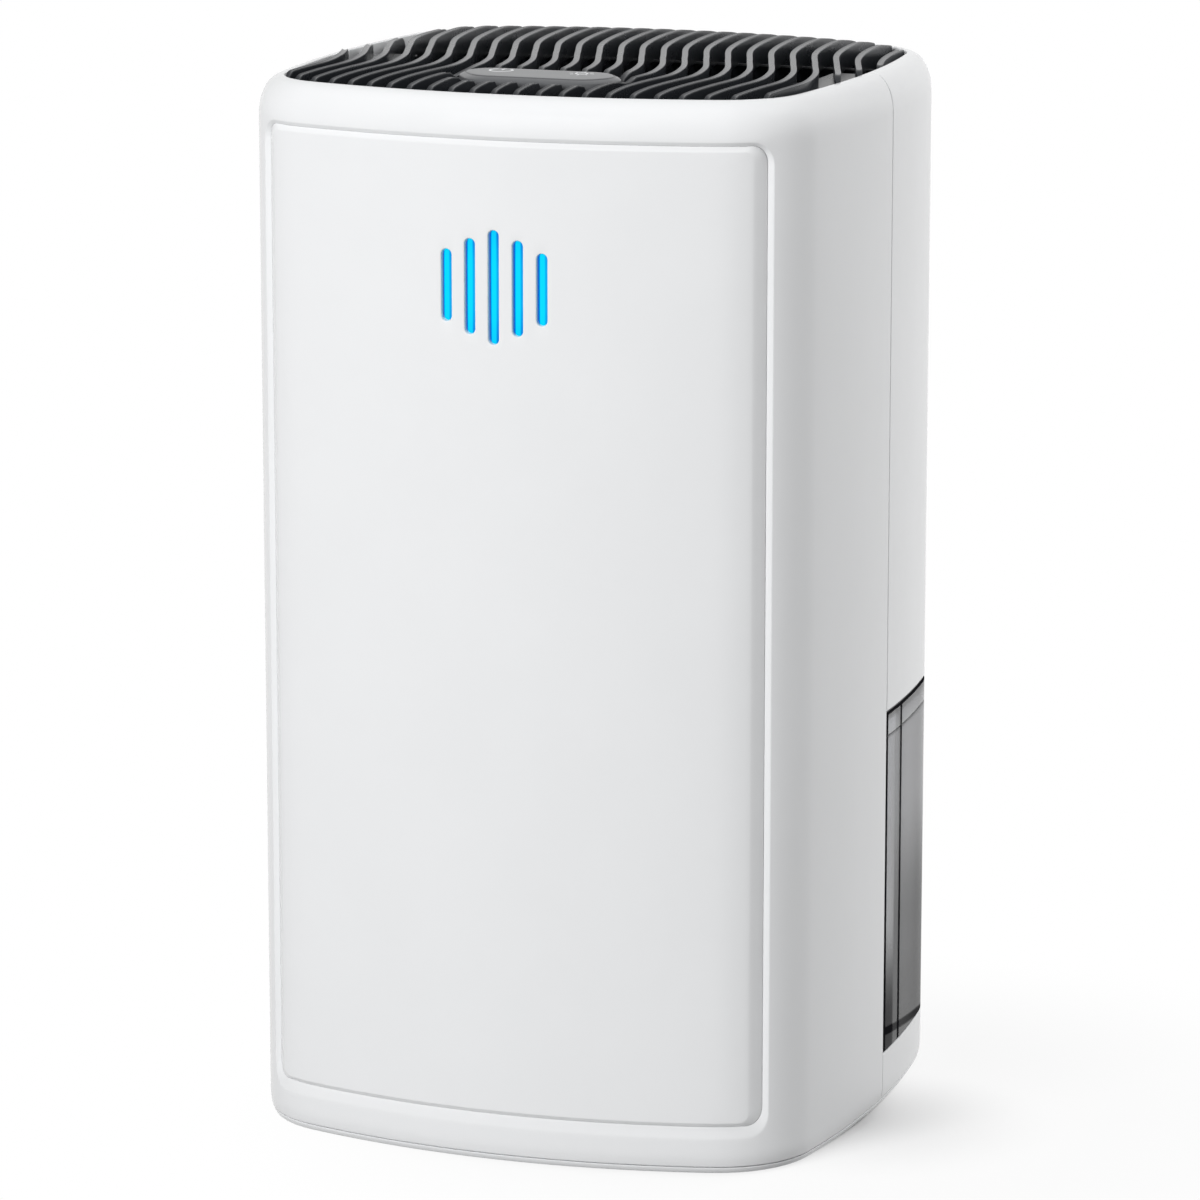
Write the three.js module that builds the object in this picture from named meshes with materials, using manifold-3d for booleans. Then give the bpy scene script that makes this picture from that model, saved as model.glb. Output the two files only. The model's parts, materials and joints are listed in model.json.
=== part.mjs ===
// Compact thermoelectric dehumidifier, modelled as the pieces it comes apart into.
// Millimetres, +Z up, front towards -Y, +X to the right. The origin is on the ground,
// under the middle of the housing.
import * as THREE from "three";
import { mergeVertices, toCreasedNormals } from "three/addons/utils/BufferGeometryUtils.js";
import Module from "manifold-3d";

const wasm = await Module();
wasm.setup();

// ---------------------------------------------------------------- driving dimensions
const GAP = 0.3; // clearance between two pieces that meet

// Plan of the housing: a rounded rectangle whose four sides bow outwards.
const HALF_WIDTH = 110.4;
const HALF_DEPTH = 109.4;
const FRONT_BOW = 23.2; // rise of the front and back arcs over the half width
const SIDE_BOW = 12.6;
const CORNER_RADIUS = 38.7;

// Section of the housing.
const RIM_Z = 388;
const SHOULDER_IN = 8.4;
const SHOULDER_DROP = 14;
const FOOT_CURVE_IN = 3.4;
const FOOT_CURVE_RISE = 9;
const WALL = 2.5;
const LIP = 1; // flat on top of the rim
const BASE_SEAM_Z = 3;
const SIDE_SEAM_Y = 6; // plane where the front and rear housings meet
const LEDGE_Z = RIM_Z - 13; // ledge that carries the top grille
const LEDGE_IN = 12;
const DECK_LEDGE_Z = RIM_Z - 70.3; // ledge that carries the fan deck
const DECK_LEDGE_IN = 9.5;
const SILL_IN = 5; // thicker wall just above the base cover

// Front panel, set flush in the bowed front and parted from it by a V-groove. The groove's
// bottom line runs round a rounded rectangle, and each of its two slopes has its own widths.
const GROOVE_PAST_CORNER = 19.5; // how far round the corner the bottom line lies, along the outline
const GROOVE_LOW = 18.4;
const GROOVE_HIGH = RIM_Z - 15.2;
const GROOVE_CORNER = 6.5;
const GROOVE_DEPTH = 1.5;
const PANEL_SLOPE = { side: 6.2, low: 1.5, high: 2 };
const HOUSING_SLOPE = { side: 1.8, low: 4.4, high: 1.3 };
const PANEL_THICK = 3.2;
const POCKET_WALL = 2.5;

// Light window: five bars, the middle one longest.
const BAR_PITCH = 9;
const BAR_WIDTH = 4;
const BAR_LENGTHS = [25.7, 34, 40.6, 34, 25.7];
const BAR_Z = RIM_Z - 67.1;
const BAR_RECESS = 1.6;

// Top grille: curved louvres under a low crown.
const LOUVRE_PITCH = 8.3;
const LOUVRE_THICK = 2.2;
const LOUVRE_DEPTH = 8;
const LOUVRE_SHIFT = 2.1; // x of the middle louvre where its wave is zero
const CROWN = 3.4; // height of the louvres above the rim in the middle
// Each fall of the crown is [height lost at the edge, power of the distance from the middle].
const CROWN_FRONT_FALL = [3.6, 8.9];
const CROWN_BACK_FALL = [1.2, 2.5];
const CROWN_SIDE_FALL = [0.8, 2.5];
const CROWN_FRONT_CORNER_FALL = 3.5;
const GRILLE_TOP_Z = RIM_Z - 2.5;
const GRILLE_RING = 2.5;
const GRILLE_RIBS = [-28, 45]; // y of the two cross ribs
// Sideways drift of a louvre (second value) along the depth (first value, a share of half of it).
const LOUVRE_WAVE = [
  [-1.03, 1.5],
  [-0.85, 3.6],
  [-0.67, 6.9],
  [-0.5, 9.5],
  [-0.3, 7],
  [0, -2.6],
  [0.3, -12.3],
  [0.6, -16.6],
  [1.03, -15.8],
];

// Touch pad on the grille.
const PAD_Y = 45.4 - HALF_DEPTH;
const PAD_HALF_LENGTH = 31;
const PAD_HALF_FLAT = 17; // half length of its straight long edges
const PAD_HALF_WIDTH = 17;
const PAD_TOP_Z = RIM_Z + 3.6;
const PAD_THICK = 3.2;
const PAD_CHAMFER = 2.4;
const PAD_SEAT_WALL = 2;

// Water tank and its bay.
const TANK_FRONT = 6.8;
const TANK_FLOOR_Z = 21.2;
const TANK_TOP_Z = 151;
const LID_HEIGHT = 8.4;
const TANK_WALL = 2.2;
const TANK_CORNER = 20; // rounded front corners of the vessel behind its flush wings
const TANK_FLOOR = 4;
const TANK_INNER_FILLET = 14;
const BAY_GAP = 0.9; // shadow gap round the tank
const BAY_WALL = 2.2;
const GRIP_HALF = 42;
const GRIP_HIGH = TANK_TOP_Z - 19;
const GRIP_LOW = GRIP_HIGH - 24;
const GRIP_CORNER = 9;
const GRIP_DEPTH = 17;
const DRIP_Y = 60;
const DRIP_RADIUS = 9;
const SPOUT_RADIUS = 6;

// Tank float.
const FLOAT_X = -45;
const FLOAT_HALF = 13;
const FLOAT_PIVOT_Y = 19;
const FLOAT_PIVOT_Z = TANK_TOP_Z - 33;
const FLOAT_FAR_Y = 58;
const FLOAT_LOW_Z = FLOAT_PIVOT_Z - 14;
const FLOAT_PIN = 1.8;
const MAGNET_Y = FLOAT_PIVOT_Y + 15;
const MAGNET_RADIUS = 3.5;
const MAGNET_THICK = 3;

// Cooling engine.
const PARTITION_Y = 8;
const PARTITION_THICK = 3.6;
const PARTITION_TOP_Z = DECK_LEDGE_Z - 17.7;
const MODULE_SIZE = 40;
const MODULE_X = 24;
const ENGINE_ROOM = PARTITION_TOP_Z - TANK_TOP_Z; // height left for the two heat sinks
const ENGINE_Z = TANK_TOP_Z + ENGINE_ROOM / 2 + 0.5;
const COLD_HALF = 50;
const COLD_HEIGHT = ENGINE_ROOM - 57;
const COLD_DEPTH = 38;
const HOT_HALF = 60;
const HOT_HEIGHT = ENGINE_ROOM - 25;
const HOT_DEPTH = 58;
const SINK_PLATE = 5;
const FIN = 1.8;
const FIN_PITCH = 7;

// Fan.
const FAN_SIZE = 120;
const FAN_HEIGHT = 25;
const FAN_BORE = FAN_SIZE / 2 - 2;
const FAN_TIP = FAN_BORE - 1.5;
const FAN_HUB = 20.5;
const FAN_BLADES = 9;
const FAN_SHAFT = 1.5;
const FAN_DECK = 2.5;
const FAN_SCREW_SPAN = FAN_SIZE / 2 - 7.5;

// Base, feet and inlet.
const BASE_FLOOR_Z = 0.8;
const BASE_TOP_Z = 6;
const BASE_SPIGOT_IN = 5.4;
const FOOT_RADIUS = 8;
const FOOT_PLACE = [HALF_WIDTH - 36.4, HALF_DEPTH - 37.4];
const FOOT_SINK = 3;
const SCREW_HEAD = 3.1;
const SCREW_SHANK = 1.4;
const BOSS_RADIUS = 4.5;
const BASE_BOSS_PLACE = [HALF_WIDTH - 26.4, HALF_DEPTH - 57.4];
const JACK_X = -60;
const JACK_Z = 11.7;
const JACK_HALF = 5;

// ---------------------------------------------------------------- solids
// A closed three.js geometry as a solid, with its faces turned outwards.
function solid(geometry) {
  const bare = new THREE.BufferGeometry();
  bare.setAttribute("position", geometry.getAttribute("position"));
  if (geometry.index) bare.setIndex(geometry.index);
  const merged = mergeVertices(bare, 1e-4);
  const triVerts = new Uint32Array(merged.index.array);
  const vertProperties = merged.getAttribute("position").array;
  const made = new wasm.Manifold(new wasm.Mesh({ numProp: 3, vertProperties, triVerts }));
  if (made.volume() > 0) return made;
  for (let i = 0; i < triVerts.length; i += 3) {
    [triVerts[i + 1], triVerts[i + 2]] = [triVerts[i + 2], triVerts[i + 1]];
  }
  return new wasm.Manifold(new wasm.Mesh({ numProp: 3, vertProperties, triVerts }));
}

const join = (first, ...rest) => rest.reduce((sum, piece) => sum.add(piece), first);
const cut = (first, ...rest) => rest.reduce((left, piece) => left.subtract(piece), first);

function block(x0, x1, y0, y1, z0, z1) {
  const geometry = new THREE.BoxGeometry(x1 - x0, y1 - y0, z1 - z0);
  return solid(geometry.translate((x0 + x1) / 2, (y0 + y1) / 2, (z0 + z1) / 2));
}

// Upright cylinder or cone.
function post(x, y, z0, z1, radius, topRadius = radius, sides = 24) {
  const geometry = new THREE.CylinderGeometry(topRadius, radius, z1 - z0, sides);
  return solid(geometry.rotateX(Math.PI / 2).translate(x, y, (z0 + z1) / 2));
}

function rodAlongY(x, z, y0, y1, radius, sides = 24) {
  const geometry = new THREE.CylinderGeometry(radius, radius, y1 - y0, sides);
  return solid(geometry.translate(x, (y0 + y1) / 2, z));
}

function rodAlongX(y, z, x0, x1, radius, sides = 16) {
  const geometry = new THREE.CylinderGeometry(radius, radius, x1 - x0, sides);
  return solid(geometry.rotateZ(Math.PI / 2).translate((x0 + x1) / 2, y, z));
}

// An outline in the ground plane, extruded upwards.
function prism(shape, z0, z1, curveSegments = 6) {
  const options = { depth: z1 - z0, bevelEnabled: false, curveSegments };
  return solid(new THREE.ExtrudeGeometry(shape, options).translate(0, 0, z0));
}

// An outline drawn in x and z, extruded along y.
function prismAlongY(shape, y0, y1, curveSegments = 6) {
  const options = { depth: y1 - y0, bevelEnabled: false, curveSegments };
  const geometry = new THREE.ExtrudeGeometry(shape, options);
  return solid(geometry.rotateX(Math.PI / 2).translate(0, y1, 0));
}

// Rounded rectangle as a shape.
function plate(x, y, halfX, halfY, radius) {
  const shape = new THREE.Shape();
  const inX = halfX - radius;
  const inY = halfY - radius;
  shape.absarc(x + inX, y - inY, radius, -Math.PI / 2, 0);
  shape.absarc(x + inX, y + inY, radius, 0, Math.PI / 2);
  shape.absarc(x - inX, y + inY, radius, Math.PI / 2, Math.PI);
  shape.absarc(x - inX, y - inY, radius, Math.PI, 1.5 * Math.PI);
  shape.closePath();
  return shape;
}

// Closed solid through rings of equal count. Each ring is a list of [x, y, z] that runs
// anticlockwise when seen from the last ring's side; caps holds the triangles of an end face.
function skin(rings, caps) {
  const count = rings[0].length;
  const faces = [];
  for (let level = 0; level + 1 < rings.length; level++) {
    for (let i = 0; i < count; i++) {
      const a = level * count + i;
      const b = level * count + ((i + 1) % count);
      faces.push(a, b, b + count, a, b + count, a + count);
    }
  }
  const last = (rings.length - 1) * count;
  for (const [a, b, c] of caps) faces.push(a, c, b, last + a, last + b, last + c);
  const geometry = new THREE.BufferGeometry();
  geometry.setAttribute("position", new THREE.Float32BufferAttribute(rings.flat(2), 3));
  geometry.setIndex(faces);
  return solid(geometry);
}

// Loft through level outlines, lowest first: each is { points, z }.
function loft(levels) {
  const rings = levels.map(({ points, z }) => points.map((p) => [p.x, p.y, z]));
  return skin(rings, THREE.ShapeUtils.triangulateShape(levels[0].points, []));
}

// ---------------------------------------------------------------- plan of the housing
const frontRadius = (HALF_WIDTH ** 2 + FRONT_BOW ** 2) / (2 * FRONT_BOW);
const sideRadius = (HALF_DEPTH ** 2 + SIDE_BOW ** 2) / (2 * SIDE_BOW);
const frontCentre = new THREE.Vector2(0, frontRadius - HALF_DEPTH);
const sideCentre = new THREE.Vector2(HALF_WIDTH - sideRadius, 0);
const cornerCentre = meeting(
  frontCentre,
  frontRadius - CORNER_RADIUS,
  sideCentre,
  sideRadius - CORNER_RADIUS,
);
const FRONT_STEPS = 5;
const CORNER_STEPS = 5;
const SIDE_STEPS = 4;

// Where two circles meet, in the front right quarter.
function meeting(first, firstRadius, second, secondRadius) {
  const between = second.clone().sub(first);
  const apart = between.length();
  const along = (firstRadius ** 2 - secondRadius ** 2 + apart ** 2) / (2 * apart);
  const aside = Math.sqrt(firstRadius ** 2 - along ** 2);
  const foot = first.clone().addScaledVector(between, along / apart);
  const across = new THREE.Vector2(-between.y, between.x).multiplyScalar(aside / apart);
  const choices = [foot.clone().add(across), foot.clone().sub(across)];
  return choices.find((p) => p.x > 0 && p.y < 0);
}

function arc(centre, radius, from, to, steps) {
  return Array.from({ length: steps + 1 }, (_, i) => {
    const angle = from + ((to - from) * i) / steps;
    return new THREE.Vector2(centre.x + radius * Math.cos(angle), centre.y + radius * Math.sin(angle));
  });
}

// Outline of the housing, moved inwards by inset, anticlockwise from the middle of the front.
function plan(inset = 0) {
  const toFront = cornerCentre.clone().sub(frontCentre).angle();
  const toSide = cornerCentre.clone().sub(sideCentre).angle();
  const quarter = [
    ...arc(frontCentre, frontRadius - inset, 1.5 * Math.PI, toFront, FRONT_STEPS),
    ...arc(cornerCentre, CORNER_RADIUS - inset, toFront, toSide, CORNER_STEPS).slice(1),
    ...arc(sideCentre, sideRadius - inset, toSide, 2 * Math.PI, SIDE_STEPS).slice(1),
  ];
  const back = [...quarter].reverse().slice(1).map((p) => new THREE.Vector2(p.x, -p.y));
  const half = [...quarter, ...back];
  return [...half, ...[...half].reverse().slice(1, -1).map((p) => new THREE.Vector2(-p.x, p.y))];
}

// Half width of the outline at a given y, near the sides.
const sideAt = (y, inset = 0) => sideCentre.x + Math.sqrt((sideRadius - inset) ** 2 - y ** 2);
// Distance of the front or back face from the centre plane at a given x.
const faceAt = (x, inset = 0) => Math.sqrt((frontRadius - inset) ** 2 - x ** 2) - frontCentre.y;

// Solid of the plan, its inset changing with height: a list of [inset, z].
const stack = (profile) => loft(profile.map(([inset, z]) => ({ points: plan(inset), z })));
const slab = (inset, z0, z1) => stack([[inset, z0], [inset, z1]]);

const REACH = 2 * HALF_DEPTH;
const behind = (y) => block(-REACH, REACH, y, REACH, -REACH, 3 * REACH);
const ahead = (y) => block(-REACH, REACH, -REACH, y, -REACH, 3 * REACH);
const above = (z) => block(-REACH, REACH, -REACH, REACH, z, 3 * REACH);
const below = (z) => block(-REACH, REACH, -REACH, REACH, -REACH, z);

// Inset and height of the outside, up the curve above the ground and round the shoulder.
function footCurve(z) {
  const share = Math.min(1, z / FOOT_CURVE_RISE);
  return FOOT_CURVE_IN * (1 - Math.sqrt(1 - (1 - share) ** 2));
}
const footLevels = [0, 0.09, BASE_SEAM_Z / FOOT_CURVE_RISE, 0.6, 1].map((share) => {
  const z = share * FOOT_CURVE_RISE;
  return [footCurve(z), z];
});
const shoulderLevels = [0, 22, 45, 68, 90].map((degrees) => {
  const angle = THREE.MathUtils.degToRad(degrees);
  return [SHOULDER_IN * (1 - Math.cos(angle)), RIM_Z - SHOULDER_DROP * (1 - Math.sin(angle))];
});

const bodyOutside = stack([...footLevels, ...shoulderLevels]);
const bodyInside = stack([
  [SILL_IN, -1],
  [SILL_IN, BASE_TOP_Z + GAP],
  [WALL, BASE_TOP_Z + 2 * SILL_IN],
  [WALL, DECK_LEDGE_Z - 11],
  [DECK_LEDGE_IN, DECK_LEDGE_Z - 4],
  [DECK_LEDGE_IN, DECK_LEDGE_Z],
  [WALL, DECK_LEDGE_Z],
  [WALL, LEDGE_Z - 13],
  [LEDGE_IN, LEDGE_Z - 3],
  [LEDGE_IN, LEDGE_Z],
  [SHOULDER_IN + LIP, LEDGE_Z],
  [SHOULDER_IN + LIP, RIM_Z + 1],
]);
const bodyShell = cut(bodyOutside, bodyInside);

// ---------------------------------------------------------------- sheets on the bowed front
// Where the front arc ends and the corner begins, as a turn and as a length along the outline.
const cornerTurn = Math.atan2(cornerCentre.x, frontCentre.y - cornerCentre.y);
const frontRun = frontRadius * cornerTurn;
const sideTurn = Math.atan2(cornerCentre.x - sideCentre.x, -cornerCentre.y);
const cornerStep = (CORNER_RADIUS * (sideTurn - cornerTurn)) / CORNER_STEPS;
const frontStations = Array.from({ length: 2 * FRONT_STEPS + 3 }, (_, i) => {
  const along = (i - FRONT_STEPS - 1) / FRONT_STEPS;
  return Math.abs(along) > 1 ? Math.sign(along) * (frontRun + cornerStep) : along * frontRun;
});

// Point at a length along the outline from the middle of the front, moved inwards by depth.
function onFront(along, z, depth) {
  const past = Math.abs(along) - frontRun;
  const centre = past > 0 ? cornerCentre : frontCentre;
  const radius = (past > 0 ? CORNER_RADIUS : frontRadius) - depth;
  const turn = past > 0 ? cornerTurn + past / CORNER_RADIUS : Math.abs(along) / frontRadius;
  return [Math.sign(along) * (centre.x + radius * Math.sin(turn)), centre.y - radius * Math.cos(turn), z];
}

// Closed sheet on the front through rounded rectangles, deepest first. Each is { half, low, high,
// corner, depth }: half its width along the outline, its edges in height, its corner radius, and
// how far it lies below the surface.
function frontSheet(rings, cornerSteps = 4) {
  const outline = ({ half, low, high, corner }) => {
    const reach = half - corner;
    const left = arc({ x: -reach, y: low + corner }, corner, Math.PI, 1.5 * Math.PI, cornerSteps);
    const right = arc({ x: reach, y: low + corner }, corner, 1.5 * Math.PI, 2 * Math.PI, cornerSteps);
    const bottom = [...left, ...frontStations.map((x) => ({ x, y: low })), ...right];
    const top = bottom.map((p) => ({ x: p.x, y: low + high - p.y })).reverse();
    return [...bottom, ...top];
  };
  const count = outline(rings[0]).length;
  const caps = [];
  for (let i = 0; i + 1 < count / 2; i++) {
    caps.push([i, i + 1, count - 2 - i], [i, count - 2 - i, count - 1 - i]);
  }
  return skin(rings.map((ring) => outline(ring).map((p) => onFront(p.x, p.y, ring.depth))), caps);
}

// The groove's bottom line grown by a share of a slope's widths, and by a margin all round.
function grooveRing(depth, { side, low, high }, share, margin = 0) {
  return {
    half: frontRun + GROOVE_PAST_CORNER + share * side + margin,
    low: GROOVE_LOW - share * low - margin,
    high: GROOVE_HIGH + share * high + margin,
    corner: GROOVE_CORNER + share * Math.min(side, 3) + margin,
    depth,
  };
}

// Upright slot with round ends, drawn in x and z.
const slot = (x, z, width, length) => plate(x, z, width / 2, length / 2, width / 2 - 0.01);

// ---------------------------------------------------------------- housings
const POCKET_DEPTH = PANEL_THICK + GAP;
const WINDOW_HALF = 24;
const WINDOW_LOW = BAR_Z - 24;
const WINDOW_HIGH = BAR_Z + 24;
const LED_BOARD_Y = 3.9 - faceAt(0, POCKET_DEPTH + POCKET_WALL);
const LED_ROOM_HALF = 29;

function panelPocket() {
  return frontSheet([
    grooveRing(POCKET_DEPTH, HOUSING_SLOPE, 0),
    grooveRing(GROOVE_DEPTH, HOUSING_SLOPE, 0),
    grooveRing(0, HOUSING_SLOPE, 1),
    grooveRing(-GROOVE_DEPTH, HOUSING_SLOPE, 2),
  ]);
}

function pocketBacking() {
  return frontSheet([
    grooveRing(POCKET_DEPTH + POCKET_WALL, HOUSING_SLOPE, 0, 2),
    grooveRing(WALL / 2, HOUSING_SLOPE, 0, 2),
  ]);
}

const ledPosts = [-1, 1].map((side) => {
  const x = side * 30;
  return cut(
    rodAlongY(x, BAR_Z, -faceAt(x, POCKET_DEPTH + 1), LED_BOARD_Y - GAP, 3, 12),
    rodAlongY(x, BAR_Z, LED_BOARD_Y - 5, LED_BOARD_Y, 1.2, 8),
  );
});

// Room behind the light window, where the ledge of the fan deck stops.
const boardRoom = slab(POCKET_DEPTH + POCKET_WALL, BAR_Z - LED_ROOM_HALF, BAR_Z + LED_ROOM_HALF)
  .intersect(block(-LED_ROOM_HALF - 10, LED_ROOM_HALF + 10, -REACH, -HALF_DEPTH / 2, 0, RIM_Z));

const DECK_Z = TANK_FLOOR_Z - GAP; // floor of the tank bay
const SEAL_Z = TANK_TOP_Z + BAY_GAP; // lower edge of the rear housing

const baseBosses = [-1, 1].flatMap((x) => [-1, 1].map((y) => {
  const [placeX, placeY] = [x * BASE_BOSS_PLACE[0], y * BASE_BOSS_PLACE[1]];
  return join(
    post(placeX, placeY, BASE_TOP_Z + GAP, DECK_Z - 1, BOSS_RADIUS, BOSS_RADIUS, 12),
    block(Math.min(placeX, x * sideAt(placeY, 1)), Math.max(placeX, x * sideAt(placeY, 1)),
      placeY - 1.2, placeY + 1.2, BASE_TOP_Z + 2, DECK_Z - 1),
  );
}));
const bossHoles = [-1, 1].flatMap((x) => [-1, 1].map((y) => {
  const bore = SCREW_SHANK + GAP;
  return post(x * BASE_BOSS_PLACE[0], y * BASE_BOSS_PLACE[1], BASE_TOP_Z, DECK_Z - 3, bore, bore, 8);
}));

function frontHousing() {
  const rearSkirt = bodyShell.intersect(below(DECK_Z)).intersect(behind(SIDE_SEAM_Y - 1));
  const bayDeck = slab(WALL / 2, DECK_Z - BAY_WALL, DECK_Z).intersect(behind(SIDE_SEAM_Y - 4));
  const frontShell = cut(bodyShell.intersect(ahead(SIDE_SEAM_Y - GAP / 2)), boardRoom);
  return cut(
    join(frontShell, pocketBacking(), rearSkirt, bayDeck, ...ledPosts, ...baseBosses),
    panelPocket(),
    block(-WINDOW_HALF, WINDOW_HALF, -REACH, -HALF_DEPTH / 2, WINDOW_LOW, WINDOW_HIGH),
    below(BASE_SEAM_Z + GAP),
    rodAlongY(JACK_X, JACK_Z, faceAt(JACK_X) - 6, REACH, JACK_HALF, 16),
    ...bossHoles,
  );
}

const INTAKE_PITCH = 9.6;
const INTAKE_LOW = TANK_TOP_Z + 31;
const INTAKE_ROWS = Math.floor((PARTITION_TOP_Z - INTAKE_LOW) / INTAKE_PITCH) + 1;
const INTAKE_SLOT = [66, 4.4];
const INTAKE_COLUMNS = [-37, 37];
const RIB_IN = 8; // how far the partition's guide ribs stand in from the outside
const guideRibs = [-1, 1].flatMap((side) => {
  const reach = side * sideAt(PARTITION_Y, 1);
  const tip = side * (sideAt(PARTITION_Y) - RIB_IN);
  const [x0, x1] = [Math.min(reach, tip), Math.max(reach, tip)];
  return [
    block(x0, x1, PARTITION_Y - GAP - 1.4, PARTITION_Y - GAP, SEAL_Z + 5, PARTITION_TOP_Z),
    block(x0, x1, PARTITION_Y + PARTITION_THICK + GAP, PARTITION_Y + PARTITION_THICK + GAP + 1.6,
      SEAL_Z + 5, PARTITION_TOP_Z),
  ];
});

function rearHousing() {
  const shell = bodyShell.intersect(behind(SIDE_SEAM_Y + GAP / 2)).intersect(above(SEAL_Z));
  const [length, width] = INTAKE_SLOT;
  const slots = INTAKE_COLUMNS.flatMap((x) => Array.from({ length: INTAKE_ROWS }, (_, row) => {
    const outline = plate(x, INTAKE_LOW + row * INTAKE_PITCH, length / 2, width / 2, width / 2 - 0.01);
    return prismAlongY(outline, HALF_DEPTH / 2, REACH, 1);
  }));
  return cut(join(shell, ...guideRibs), ...slots);
}

function baseCover() {
  const flange = stack([...footLevels.slice(0, 3)]).intersect(above(BASE_FLOOR_Z));
  const spigot = slab(BASE_SPIGOT_IN, BASE_SEAM_Z - 1, BASE_TOP_Z);
  const footRoom = FOOT_RADIUS + GAP;
  const feet = feetPlaces.map(([x, y]) => post(x, y, 0, FOOT_SINK + GAP, footRoom, footRoom, 16));
  const screws = [-1, 1].flatMap((x) => [-1, 1].flatMap((y) => {
    const [placeX, placeY] = [x * BASE_BOSS_PLACE[0], y * BASE_BOSS_PLACE[1]];
    return [
      post(placeX, placeY, 0, BASE_SEAM_Z + 1, SCREW_HEAD + GAP, SCREW_HEAD + GAP, 12),
      post(placeX, placeY, 0, BASE_TOP_Z + 1, SCREW_SHANK + GAP, SCREW_SHANK + GAP, 8),
    ];
  }));
  return cut(join(flange, spigot), ...feet, ...screws);
}

const feetPlaces = [-1, 1].flatMap((x) => [-1, 1].map((y) => [x * FOOT_PLACE[0], y * FOOT_PLACE[1]]));

function foot([x, y]) {
  return join(
    post(x, y, 0, 0.8, FOOT_RADIUS - 0.8, FOOT_RADIUS, 16),
    post(x, y, 0.8, FOOT_SINK, FOOT_RADIUS, FOOT_RADIUS, 16),
  );
}

function baseScrew(x, y) {
  const [placeX, placeY] = [x * BASE_BOSS_PLACE[0], y * BASE_BOSS_PLACE[1]];
  const top = BASE_SEAM_Z + 1 - GAP;
  return join(
    post(placeX, placeY, top - 2, top, SCREW_HEAD, SCREW_HEAD, 12),
    post(placeX, placeY, top - 0.5, DECK_Z - 4, SCREW_SHANK, SCREW_SHANK, 8),
  );
}

// ---------------------------------------------------------------- front panel and its light
const barPlaces = BAR_LENGTHS.map((length, i) => {
  return { x: (i - (BAR_LENGTHS.length - 1) / 2) * BAR_PITCH, length };
});

function frontPanel() {
  const sheet = frontSheet([
    grooveRing(PANEL_THICK, PANEL_SLOPE, 0, -GAP),
    grooveRing(GROOVE_DEPTH, PANEL_SLOPE, 0, -GAP),
    grooveRing(GROOVE_DEPTH * 0.42, PANEL_SLOPE, -0.5, -GAP / 2),
    grooveRing(0, PANEL_SLOPE, -1),
  ]);
  const slots = barPlaces.map(({ x, length }) => {
    return prismAlongY(slot(x, BAR_Z, BAR_WIDTH, length), -REACH, 0, 3);
  });
  return cut(sheet, ...slots);
}

function lightGuide() {
  const plateFront = -faceAt(WINDOW_HALF, PANEL_THICK) + GAP;
  const flangeFront = -faceAt(WINDOW_HALF + 4, POCKET_DEPTH + POCKET_WALL) + GAP;
  const bars = barPlaces.map(({ x, length }) => {
    const outline = slot(x, BAR_Z, BAR_WIDTH - 2 * GAP, length - 2 * GAP);
    return prismAlongY(outline, -faceAt(x, BAR_RECESS), plateFront + 1, 3);
  });
  return join(
    block(-WINDOW_HALF + GAP, WINDOW_HALF - GAP, plateFront, flangeFront + 0.5,
      WINDOW_LOW + GAP, WINDOW_HIGH - GAP),
    block(-WINDOW_HALF - 3, WINDOW_HALF + 3, flangeFront, flangeFront + 1.2,
      WINDOW_LOW - 3, WINDOW_HIGH + 3),
    ...bars,
  );
}

function ledBoard() {
  const board = block(-34, 34, LED_BOARD_Y, LED_BOARD_Y + 1.6, BAR_Z - 14, BAR_Z + 14);
  const lamps = barPlaces.flatMap(({ x, length }) => [-1, 1].map((side) => {
    const z = BAR_Z + (side * length) / 6;
    return block(x - 1.4, x + 1.4, LED_BOARD_Y - 0.6, LED_BOARD_Y + 0.4, z - 1.6, z + 1.6);
  }));
  return join(board, ...lamps);
}

// ---------------------------------------------------------------- top grille
const openingHalf = HALF_WIDTH - SHOULDER_IN;
const openingDepth = HALF_DEPTH - SHOULDER_IN;
const louvreWave = new THREE.SplineCurve(
  LOUVRE_WAVE.map(([share, drift]) => new THREE.Vector2(share * openingDepth, drift)),
);
const GRILLE_IN = SHOULDER_IN + LIP + GAP;

// Height of the louvre tops: a low crown that rolls down to the rim at the front.
function crownZ(x, y) {
  const deep = Math.abs(y) / openingDepth;
  const wide = Math.abs(x) / openingHalf;
  const fall = ([height, power], share) => height * share ** power;
  const frontFall = fall(CROWN_FRONT_FALL, deep) + CROWN_FRONT_CORNER_FALL * deep ** 3 * wide ** 2;
  const depthFall = y < 0 ? frontFall : fall(CROWN_BACK_FALL, deep);
  return RIM_Z + CROWN - depthFall - fall(CROWN_SIDE_FALL, wide);
}

// One louvre: an upright strip that follows the wave from front to back under the crown.
function louvre(shift, steps = 9) {
  const rings = louvreWave.getPoints(steps).map(({ x: y, y: drift }, i) => {
    const heading = louvreWave.getTangent(i / steps);
    const x = shift + drift;
    const top = crownZ(x, y);
    const foot = top - LOUVRE_DEPTH;
    const [sideX, sideY] = [(heading.x * LOUVRE_THICK) / 2, (-heading.y * LOUVRE_THICK) / 2];
    return [
      [x - sideX, y - sideY, foot],
      [x - sideX, y - sideY, top],
      [x + sideX, y + sideY, top],
      [x + sideX, y + sideY, foot],
    ];
  });
  return skin(rings, [[0, 1, 2], [0, 2, 3]]);
}

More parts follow.
